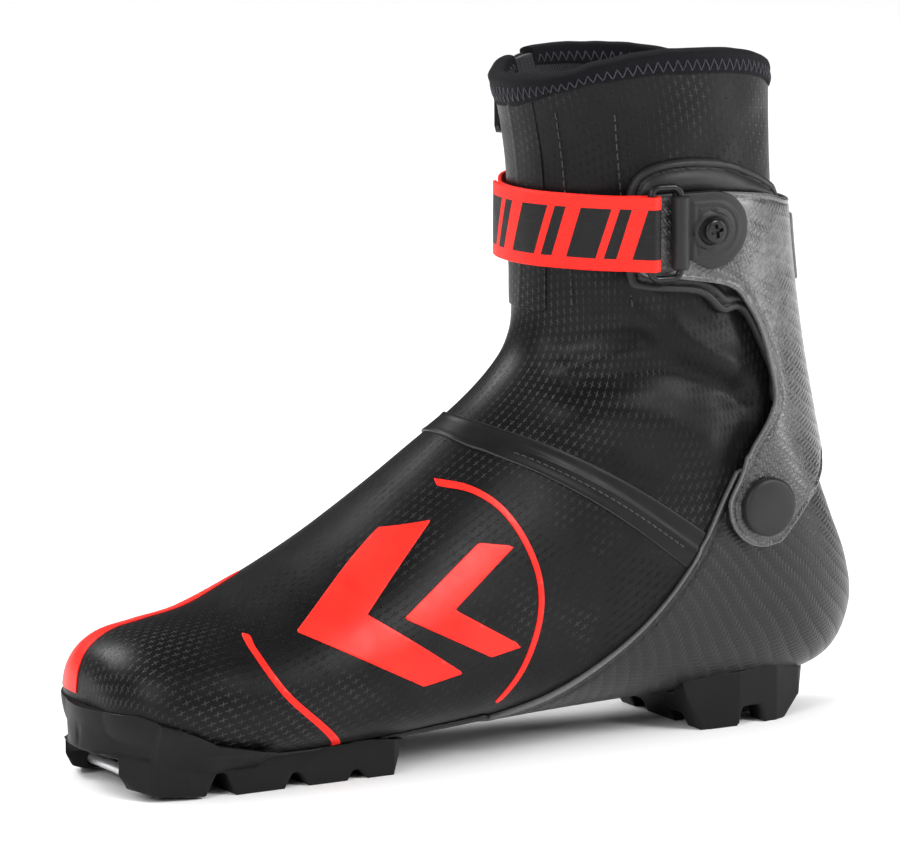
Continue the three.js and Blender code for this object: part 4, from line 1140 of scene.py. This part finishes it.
# -------------------------------------------------------------------------------- cuff
CUFF_POINTS = [
    [90, 176], [25, 178], [0, 184], [-22, 187], [-43.5, 187], [-45, 185], [-45, 161], [-43, 159.3],
    [-30, 157.7], [-14, 154], [-7, 147], [-1, 136], [3.8, 117.4], [1.5, 109], [-6, 98], [-10, 89],
]
LOBE_RADIUS = 14
LOBE = [
    [LOBE_RADIUS * math.cos(a), PIVOT_Z / HEIGHT + LOBE_RADIUS * math.sin(a)]
    for a in np.linspace(0.93 * math.pi, 1.69 * math.pi, 9)
]
CUFF = curve_through(
    scaled(CUFF_POINTS + LOBE + [[24, 84.8], [35, 91.8], [90, 94]]), corners=(0, 4, 5, 6, 7, 27), steps=5
)


def cuff_shell():
    patch = Patch(lambda p: inside(p, CUFF), along=(0.5, 0.97), pitch=1.1)
    relief = lambda p, d: -0.35 * np.exp(-(((d - 1.9) / 0.45) ** 2))
    plate = shell("cuff_shell_plate", patch, 4, 6, 0.9, relief, levels=(1.4, 1.9, 2.4))
    dress(plate, "cuff", "cuff", ["cuff_shell"])


PAD = curve_through(scaled([
    [90, 176], [26, 177], [10, 186], [-2, 192], [-15, 196.5], [-30, 198], [-42, 196], [-48, 190],
    [-49.5, 175], [-48, 158], [-44, 154.5], [-24.5, 152], [-15.5, 145], [-6, 144], [6, 124], [14, 110],
    [90, 110],
]), corners=(0, 16))


def cuff_pad():
    def relief(p, d):
        out = -inside(p, CUFF)
        bead = np.sqrt(np.clip(1 - ((d - 1.4) / 1.4) ** 2, 0, 1))
        roll = np.sqrt(np.clip(1 - ((d - 7.2) / 4.4) ** 2, 0, 1))
        low = p[:, 2] < 165 * HEIGHT
        second = np.sqrt(np.clip(1 - ((d - 4.3) / 1.4) ** 2, 0, 1))
        height = np.maximum(1.5 * bead, np.where(low, 1.7 * second, 3.0 * roll))
        height = np.minimum(height, np.clip(2.1 + out * 0.8, 1.2, 4.5))
        return np.where(out < -0.5, np.minimum(height, 1.2), height) - 0.2

    patch = Patch(lambda p: inside(p, PAD), along=(0.6, 0.99), pitch=0.9)
    pad = shell("cuff_pad_foam", patch, 0.1, 1.6, 0.0, relief, levels=(0.5, 1.4, 2.3, 2.8, 3.4))
    dress(pad, "pad", "cuff", ["cuff_pad"])


def rear_plate():
    def edge(p):
        level = inside(p, scaled([[5, 150], [90, 149], [90, 172], [5, 173]]))
        return np.minimum(level, 16 - np.abs(p[:, 1]))

    patch = Patch(edge, along=(0.7, 0.95), turn=(0.35, 0.65), pitch=0.8)
    dress(shell("rear_cuff_plate_cover", patch, 5.9, 7.2, 0.6), "cuff", "cuff", ["rear_cuff_plate"])


def pivots():
    for word, side in (("inner", INNER), ("outer", OUTER)):
        low, high = box_mm(f"pivot_cap_{word}")
        radius = (high[2] - low[2]) / 2
        foot = min(abs(low[1]), abs(high[1])) - 0.6
        top = max(abs(low[1]), abs(high[1]))
        profile = [(0, foot), (radius - 0.7, foot), (radius - 0.1, foot + 0.5), (radius, foot + 1.0),
                   (radius, top - 1.6), (radius - 0.25, top - 0.95), (radius - 0.8, top - 0.5),
                   (radius - 1.7, top - 0.28), (radius * 0.5, top - 0.06), (0, top)]
        cap = turned(f"pivot_cap_{word}_button", profile, (0, 0, PIVOT_Z), (0, side, 0), 72, None)
        dress(cap, "plastic", "foot", [f"pivot_cap_{word}"])


# -------------------------------------------------------------------------------- strap and tab
def leg_point(turn, offset):
    """A point round the leg at strap height, in plan, at each turn."""
    turn = np.atleast_1d(np.asarray(turn, float))
    along = place_on_turn(turn, lambda p: p[:, 2] - STRAP_Z)
    point, normal = last_point(along, turn), last_normal(along, turn)
    out = normal[:, :2] / np.linalg.norm(normal[:, :2], axis=1)[:, None]
    return point[:, :2] + out * np.atleast_1d(offset)[:, None]


def turn_at(x, side, offset):
    front, rear = 0.0, 0.5 * (1 if side == INNER else -1)
    for _ in range(30):
        middle = (front + rear) / 2
        if leg_point(middle, offset)[0, 0] < x:
            front = middle
        else:
            rear = middle
    return front


HINGE = np.array(JOINTS["ring_swing"]["pos_m"][:2]) / MM
RING_LOW, RING_HIGH = box_mm("strap_ring")
WIRE = 1.2
STRAP_LOW, STRAP_HIGH = box_mm("strap")
STRAP_THICK = 1.4
TAB_LOW = 6.3
FOLD = WIRE + 0.8 + STRAP_THICK / 2
RING_BAR = leg_point(turn_at(SCREW_X - 12 - 10.5, INNER, TAB_LOW + FIT + FOLD + STRAP_THICK / 2),
                     TAB_LOW + FIT + FOLD + STRAP_THICK / 2)[0]


def strap_route():
    half = STRAP_THICK / 2
    on_shin, on_cuff, second = 0.7 + 4 * FIT + half, TAB_LOW + FIT + half, STRAP_THICK + FIT

    def run(start, end, steps, rise):
        turn = np.linspace(start, end, steps + 1)
        climb = np.clip((np.abs(turn) - 0.07) / 0.1, 0, 1)
        climb = climb**2 * (3 - 2 * climb)
        return leg_point(turn, rise + on_shin + (on_cuff - on_shin) * climb)

    start = turn_at(SCREW_X + 11, OUTER, on_cuff)
    end = turn_at(RING_BAR[0] - 7, INNER, on_cuff)
    rear = math.atan2(HINGE[1] - RING_BAR[1], HINGE[0] - RING_BAR[0])
    angles = np.linspace(rear + math.pi / 2, rear - math.pi / 2, 17)
    fold = RING_BAR + FOLD * np.stack([np.cos(angles), np.sin(angles)], 1)
    first, back = run(start, end, 90, 0), run(end, -0.06, 40, second)
    bridge_in = curve_through(np.stack([first[-2], first[-1], fold[0], fold[1]]), closed=False)[6:13][1:-1]
    bridge_out = curve_through(np.stack([fold[-2], fold[-1], back[0], back[1]]), closed=False)[6:13][1:-1]
    return np.concatenate([first, bridge_in, fold, bridge_out, back])


def strap():
    route = strap_route()
    run = directions(route)
    out = np.stack([run[:, 1], -run[:, 0]], 1)
    length = distances(route)
    half, thick, round_edge = (STRAP_HIGH[2] - STRAP_LOW[2]) / 2, STRAP_THICK / 2, 0.45
    section = []
    for quarter, (sign_z, sign_o) in enumerate(((1, 1), (-1, 1), (-1, -1), (1, -1))):
        for angle in np.radians(np.linspace(quarter * 90, quarter * 90 + 90, 4)):
            height = sign_z * (half - round_edge) + round_edge * math.cos(angle)
            depth = sign_o * (thick - round_edge) + round_edge * math.sin(angle)
            section.append((height, depth))
    points, cloth = [], []
    for i, place in enumerate(route):
        for height, depth in section:
            points.append((*(place + out[i] * depth), STRAP_Z + height))
            cloth.append((length[-1] - length[i] + 3, height if depth < 0 else height + 40))
    count = len(section)
    faces = []
    for here in range(0, (len(route) - 1) * count, count):
        for k in range(count):
            m = (k + 1) % count
            faces.append([here + m, here + k, here + count + k, here + count + m])
    faces += [list(range(count)), list(range((len(route) - 1) * count, len(route) * count))[::-1]]
    dress(link("strap_band", points, faces, np.array(cloth), 40), "strap", "cuff", ["strap"])


def strap_ring():
    corner = 3.0
    half = (RING_HIGH[2] - RING_LOW[2]) / 2 - WIRE
    reach = np.linalg.norm(RING_BAR - HINGE)
    toward = (RING_BAR - HINGE) / reach
    path = []
    for u, v, start in ((reach - corner, half - corner, 0), (corner, half - corner, 90),
                        (corner, corner - half, 180), (reach - corner, corner - half, 270)):
        for angle in np.radians(np.linspace(start, start + 90, 9)):
            path.append((u + corner * math.cos(angle), v + corner * math.sin(angle)))
    ring = [(*(HINGE + toward * u), STRAP_Z + v) for u, v in path]
    flat = (toward[1], -toward[0], 0)
    wire = link("strap_ring_wire", *tube(ring, WIRE, 16, closed=True, flat=flat))
    dress(wire, "black_steel", "ring", ["strap_ring"])


def strap_tab():
    half = 13.3
    turns = np.linspace(-math.pi / 2, math.pi / 2, 40)
    outline = np.array([[HINGE[0] - 0.5, STRAP_Z - half], *[
        [SCREW_X + half * math.cos(a), STRAP_Z + half * math.sin(a)] for a in turns
    ], [HINGE[0] - 0.5, STRAP_Z + half]])
    inner_d = np.array([[HINGE[0] + 5.2, STRAP_Z - half + 3.4], *[
        [SCREW_X + (half - 3.4) * math.cos(a), STRAP_Z + (half - 3.4) * math.sin(a)] for a in turns
    ], [HINGE[0] + 5.2, STRAP_Z + half - 3.4]])

    def relief(p, d):
        within = inside(p, inner_d)
        step = 0.45 * np.clip(within / 0.45 + 0.5, 0, 1) - 0.35 * np.exp(-(((within - 1.7) / 0.4) ** 2))
        away = np.hypot(p[:, 0] - SCREW_X, p[:, 2] - STRAP_Z)
        boss = 1.0 * np.clip((6.7 - away) / 0.5, 0, 1)
        dish = -0.7 * np.clip((5.0 - away) / 0.4, 0, 1)
        return step * np.clip((away - 6.2) / 0.8, 0.3, 1) + boss + dish

    patch = Patch(lambda p: inside(p, outline), along=(0.8, 0.96), turn=(0.05, 0.45), pitch=0.45)
    plate = shell("strap_tab_plate", patch, TAB_LOW, TAB_LOW + 2.4, 0.7, relief)
    height = half - 1.0
    radius = WIRE + FIT + 1.45
    roll_profile = [(0, -height), (radius - 0.5, -height), (radius, -height + 0.5), (radius, height - 0.5),
                    (radius - 0.5, height), (0, height)]
    roll = turned("tab_roll", roll_profile, (HINGE[0], HINGE[1], STRAP_Z), (0, 0, 1), 48)
    unite(plate, roll)
    plate.data.shade_smooth()
    plate.data.set_sharp_from_angle(angle=math.radians(38))
    dress(plate, "plastic", "cuff", ["strap_tab"])


def press_cross(head, place, top, arm=2.3, half=0.55, depth=1.1):
    """Sinks a cross recess into the crown of a screw head."""
    cosine, sine = math.cos(math.radians(12)), math.sin(math.radians(12))
    for vert in head.data.vertices:
        x, y, z = (value / MM for value in vert.co)
        if abs(y - top) > 0.32:
            continue
        x, z = x - place[0], z - place[2]
        across, up = x * cosine + z * sine, z * cosine - x * sine
        slot = max(min(arm - abs(across), half - abs(up)), min(arm - abs(up), half - abs(across)))
        sink = depth * min(max(slot / 0.16 + 0.5, 0), 1)
        vert.co.y -= math.copysign(sink, top) * MM


def screw(node, name, side):
    low, high = box_mm(node)
    radius = (high[2] - low[2]) / 2
    top = max(abs(low[1]), abs(high[1]))
    place = ((low[0] + high[0]) / 2, 0, STRAP_Z)
    profile = [(0, top - 6), (2, top - 6), (2, top - 1.8), (radius - 0.3, top - 1.8), (radius, top - 1.5),
               (radius, top - 0.8), (radius - 0.12, top - 0.5), (radius - 0.4, top - 0.28)]
    rings = np.linspace(radius - 0.8, 0, 44)
    profile += [(r, top - 0.2 * (r / radius) ** 2) for r in rings]
    head = turned(name, profile, place, (0, side, 0), 144)
    press_cross(head, place, side * top)
    head.data.set_sharp_from_angle(angle=math.radians(40))
    dress(head, "black_steel", "cuff", [node])


def strap_anchor():
    low, high = box_mm("strap_anchor")
    place = ((low[0] + high[0]) / 2, 0, STRAP_Z)
    radius = (high[2] - low[2]) / 2
    top = high[1]
    profile = [(0, top - 2.0), (radius - 0.5, top - 2.0), (radius, top - 1.5), (radius, top - 0.9),
               (radius - 0.7, top - 0.3), (radius - 2.2, top), (6, top), (5.4, top - 0.35), (0, top - 0.35)]
    washer = turned("strap_anchor_washer", profile, place, (0, 1, 0), 64, 40)
    dress(washer, "plastic", "cuff", ["strap_anchor"])


# -------------------------------------------------------------------------------- collar
BINDING = 7.0


def rim_frame(turn, drop):
    """Points, normals and up vectors a distance below the rim, at each turn."""
    along = place_on_turn(turn, above_rim)
    ahead = last_point(np.minimum(along + 0.004, 1), turn) - last_point(along - 0.004, turn)
    speed = np.linalg.norm(ahead, axis=1) / 0.008
    lower = along - drop / speed
    return last_point(lower, turn), last_normal(lower, turn), ahead / np.linalg.norm(ahead, axis=1)[:, None]


def binding_turns(count):
    """Turns from one side of the zip, round the back, to the other."""
    turn = np.linspace(0, 1, 720, endpoint=False)
    points, _, _ = rim_frame(turn, 0)
    gap = zip_gap(points, ZIP_HALF)
    middle = turn[np.argmin(gap)]
    ordered = np.linspace(middle, middle + 1, 1500)
    points, _, _ = rim_frame(ordered % 1, 0)
    clear = ordered[zip_gap(points, ZIP_HALF) > 0.2]
    return np.linspace(clear[0], clear[-1], count) % 1


def collar_binding():
    turn = binding_turns(300)
    layers = []
    outside = [(BINDING, 0.1), (BINDING, 0.45), (BINDING - 0.5, 0.7), (5, 0.8), (2.5, 0.75), (0.4, 0.8)]
    for drop, offset in outside:
        point, normal, _ = rim_frame(turn, drop)
        layers.append(point + normal * offset)
    point, normal, up = rim_frame(turn, 0)
    middle, reach = -2.15, 2.95
    for angle in np.radians([20, 45, 70, 90, 110, 135, 160]):
        layers.append(point + normal * (middle + reach * math.cos(angle)) + up * (1.3 * math.sin(angle)))
    within = [(0.4, -5.1), (2.5, -5.1), (5, -5.1), (BINDING - 0.5, -5.05), (BINDING, -4.9), (BINDING, -4.5)]
    for drop, offset in within:
        point, normal, _ = rim_frame(turn, drop)
        layers.append(point + normal * offset)
    wave = np.array([noise(Vector((t * 40, 3.1, 7.7))) for t in turn])[:, None]
    layers = [layer + np.array([0, 0, 0.25]) * wave for layer in layers]
    count, size = len(turn), len(layers)
    points = np.concatenate(layers)
    faces = []
    for k in range(size):
        m = (k + 1) % size
        for i in range(count - 1):
            faces.append([k * count + i, k * count + i + 1, m * count + i + 1, m * count + i])
    faces += [[k * count for k in range(size)], [k * count + count - 1 for k in reversed(range(size))]]
    along = np.linspace(0, 265, count)
    cloth = np.concatenate([np.stack([along, np.full(count, k * 1.3)], 1) for k in range(size)])
    obj = dress(link("collar_binding_band", points, faces, cloth, 50), "binding", "cuff", ["collar_binding"])
    fix_normals(obj)
    zigzag(turn)


def fix_normals(obj):
    with edited(obj.data) as shape:
        bmesh.ops.recalc_face_normals(shape, faces=shape.faces)


def zigzag(turn):
    """Zigzag thread over the binding, outside and inside."""
    parts = []
    strokes = 2 * 84
    shares = np.linspace(0.006, 0.994, strokes + 1)
    places = np.interp(shares, np.linspace(0, 1, len(turn)), np.unwrap(turn, period=1))
    for offset, high, low in ((0.78, 2.0, 5.8), (-5.12, 2.0, 5.8)):
        drops = np.where(np.arange(strokes + 1) % 2, high, low)
        for i in range(strokes):
            t = np.linspace(places[i], places[i + 1], 5) % 1
            drop = np.linspace(drops[i], drops[i + 1], 5)
            point, normal, _ = rim_frame(t, drop)
            sign = 1 if offset > 0 else -1
            rise = np.array([-0.2, 0.1, 0.16, 0.1, -0.2]) * sign
            parts.append(tube(point + normal * (offset + rise)[:, None], 0.2, 5, flat=normal[2]))
    dress(link("collar_zigzag", *joined(parts)), "binding_thread", "cuff")


def upright_stitches(name, turn, heights, offset, length, gap, radius):
    """Stitches up the leg at one turn."""
    turn = np.full(len(heights), turn)
    along = place_on_turn(turn, lambda p: p[:, 2] - heights)
    points, normals = last_point(along, turn), last_normal(along, turn)
    row = stitch_row(points + normals * offset, normals, length, gap, radius)
    dress(link(name, *row), "thread", "cuff")


def shin_strip():
    def edge(p):
        outline = inside(p, scaled([[-140, 146], [-40, 146], [-40, 240], [-140, 240]]))
        sides = 12 - np.abs(p[:, 1])
        return np.minimum.reduce([outline, sides, -above_rim(p) - BINDING + 1, zip_gap(p, ZIP_HALF)])

    patch = Patch(edge, along=(0.5, 0.99), turn=(-0.16, 0.16), pitch=0.9)
    relief = lambda p, d: folds(p) + 0.25 * np.exp(-((p[:, 1] / 1.2) ** 2))
    dress(shell("shin_strip_tape", patch, -0.3, 0.5, 0.3, relief), "fabric", "cuff", ["shin_strip"])
    heights = np.linspace(148, 214, 60)
    for shift in (9.8, 5.2):
        upright_stitches(f"shin_stitches_{int(shift)}", shift / 62, heights, 0.55, 2.2, 1.1, 0.2)


def rear_strip():
    def edge(p):
        return np.minimum.reduce([8 - np.abs(p[:, 1]), p[:, 2] - 170 * HEIGHT, -above_rim(p) - BINDING + 1])

    patch = Patch(edge, along=(0.7, 0.999), turn=(0.4, 0.6), pitch=0.8)
    dress(shell("rear_pull_strip_tape", patch, -0.3, 0.8, 0.35), "tape", "cuff", ["rear_pull_strip"])
    heights = np.linspace(184, 207, 24)
    for word, turn in (("outer", 0.476), ("inner", 0.524)):
        upright_stitches(f"rear_stitches_{word}", turn, heights, 0.85, 2.0, 1.0, 0.22)


# -------------------------------------------------------------------------------- zip
def zip_places(step):
    """Places along the zip, from the collar down, at even steps."""
    run = distances(ZIP)
    line = np.stack([np.interp(np.arange(0, run[-1], step), run, ZIP[:, k]) for k in range(2)], 1)
    line = line[above_rim(np.stack([line[:, 0], line[:, 0] * 0 + 33, line[:, 1]], 1)) < -1.0]
    found = [surface_at(x, z, OUTER) for x, z in line]
    return np.array([f[1] for f in found]), np.array([f[2] for f in found])


def zip_parts():
    for word, shift in (("front", -3.0), ("rear", 3.0)):
        line = moved(ZIP, shift)

        def edge(p):
            return np.minimum.reduce([1.9 - near_line(p, line), -above_rim(p) - 0.5, p[:, 1] - 0.5])

        patch = Patch(edge, along=(0.25, 0.99), turn=(-0.45, 0.0), pitch=0.9)
        tape = shell(f"zip_tape_{word}_weave", patch, -1.1, -0.2, 0.0, lambda p, d: np.minimum(folds(p), 0.5))
        dress(tape, "lining", None, [f"zip_tape_{word}"])
    points, normals = zip_places(1.15)
    run = directions(points)
    across = np.cross(run, normals)
    lift = np.minimum(folds(points), 0.5)
    parts = []
    for i in range(len(points)):
        for sign in (-1, 1):
            start = points[i] + normals[i] * (lift[i] - 0.1) + across[i] * sign * 1.75 + run[i] * sign * 0.28
            end = points[i] + normals[i] * (lift[i] + 0.1) - across[i] * sign * 0.35 + run[i] * sign * 0.28
            middle = (start + end) / 2 + normals[i] * 0.22
            parts.append(tube([start, middle, end], [0.34, 0.36, 0.42], 6, flat=normals[i]))
    dress(link("zip_teeth", *joined(parts)), "plastic", None, ["zip_coil"])


def gusset():
    outline = scaled([[-90, 158], [-44, 158], [-40, 190], [-38, 213], [-95, 213]])

    def edge(p):
        return np.minimum(inside(p, outline), p[:, 1] - 2)

    patch = Patch(edge, along=(0.6, 0.98), turn=(-0.4, 0.0), pitch=1.4)
    pad = shell("zip_gusset_pad", patch, -7.3, -4.8, 0.8)
    dress(pad, "lining", "cuff", ["zip_gusset"])


def keep_cad(material, *nodes):
    for node in nodes:
        mesh = frame["nodes"][node].data
        mesh.materials.clear()
        mesh.materials.append(MATERIALS[material])


# -------------------------------------------------------------------------------- stage
def area_light(name, place, aim, size, power):
    light = bpy.data.lights.new(name, "AREA")
    light.shape = "RECTANGLE"
    light.size, light.size_y = size
    light.energy = power
    obj = bpy.data.objects.new(name, light)
    obj.location = place
    obj.rotation_euler = (Vector(aim) - Vector(place)).to_track_quat("-Z", "Y").to_euler()
    bpy.context.scene.collection.objects.link(obj)


def studio():
    world = bpy.data.worlds.new("studio")
    world.use_nodes = True
    tree = world.node_tree
    background = tree.nodes["Background"]
    background.inputs["Color"].default_value = (1, 1, 1, 1)
    seen = tree.nodes.new("ShaderNodeMapRange")
    seen.inputs["To Min"].default_value = 0.1
    tree.links.new(tree.nodes.new("ShaderNodeLightPath").outputs["Is Camera Ray"], seen.inputs["Value"])
    tree.links.new(seen.outputs["Result"], background.inputs["Strength"])
    bpy.context.scene.world = world
    bpy.context.scene.view_settings.view_transform = "Standard"
    bpy.ops.mesh.primitive_circle_add(vertices=96, radius=4, fill_type="NGON", location=(-0.09, 0, 0))
    floor = bpy.context.object
    floor.name = "studio_floor"
    paper = Shader("studio_paper")
    paper.finish((0.93, 0.93, 0.93), paper.ramp(paper.noise(3), 0.3, 0.7, 0.85, 0.95))
    floor.data.materials.append(paper.material)
    middle = (-0.09, 0, 0.1)
    area_light("key_light", (0.7, -1.5, 1.3), middle, (0.5, 1.0), 26)
    area_light("fill_light", (-1.7, -0.9, 1.0), middle, (0.6, 1.1), 18)
    area_light("rim_light", (-0.9, 1.2, 1.3), middle, (0.9, 0.7), 26)
    area_light("side_light", (1.5, -1.0, 0.45), middle, (0.35, 0.9), 12)
    sky = bpy.data.lights.new("soft_sky", "SUN")
    sky.energy = 2.5
    sky.angle = math.radians(120)
    sky_object = bpy.data.objects.new("soft_sky", sky)
    sky_object.visible_glossy = False
    bpy.context.scene.collection.objects.link(sky_object)


def camera():
    azimuth, elevation, distance = math.radians(-30), math.radians(10), 2.2
    target = Vector((-0.0975, 0, 0.1097))
    level = math.cos(elevation)
    back = Vector((math.sin(azimuth) * level, -math.cos(azimuth) * level, math.sin(elevation)))
    data = bpy.data.cameras.new("camera")
    data.sensor_width = 36
    data.lens = 264
    obj = bpy.data.objects.new("camera", data)
    obj.location = target + back * distance
    obj.rotation_euler = (-back).to_track_quat("-Z", "Y").to_euler()
    bpy.context.scene.collection.objects.link(obj)
    bpy.context.scene.camera = obj


camera()
studio()
forefoot_cover()
leg_cloth()
heel_cloth()
liner()
heel_counter()
sole_plate()
seam_tapes()
toe_stripe()
graphics()
welt()
soles()
footbed()
cuff_shell()
cuff_pad()
rear_plate()
pivots()
strap()
strap_ring()
strap_tab()
screw("tab_screw", "tab_screw_head", INNER)
screw("anchor_screw", "anchor_screw_head", OUTER)
strap_anchor()
collar_binding()
shin_strip()
rear_strip()
zip_parts()
gusset()
keep_cad("board", "insole_board")
keep_cad("steel", "pivot_post_inner", "pivot_post_outer", "tab_nut", "anchor_nut")
keep_cad("plastic", "pivot_washer_inner", "pivot_washer_outer")
keep_cad("black_steel", "zip_slider", "zip_pull")
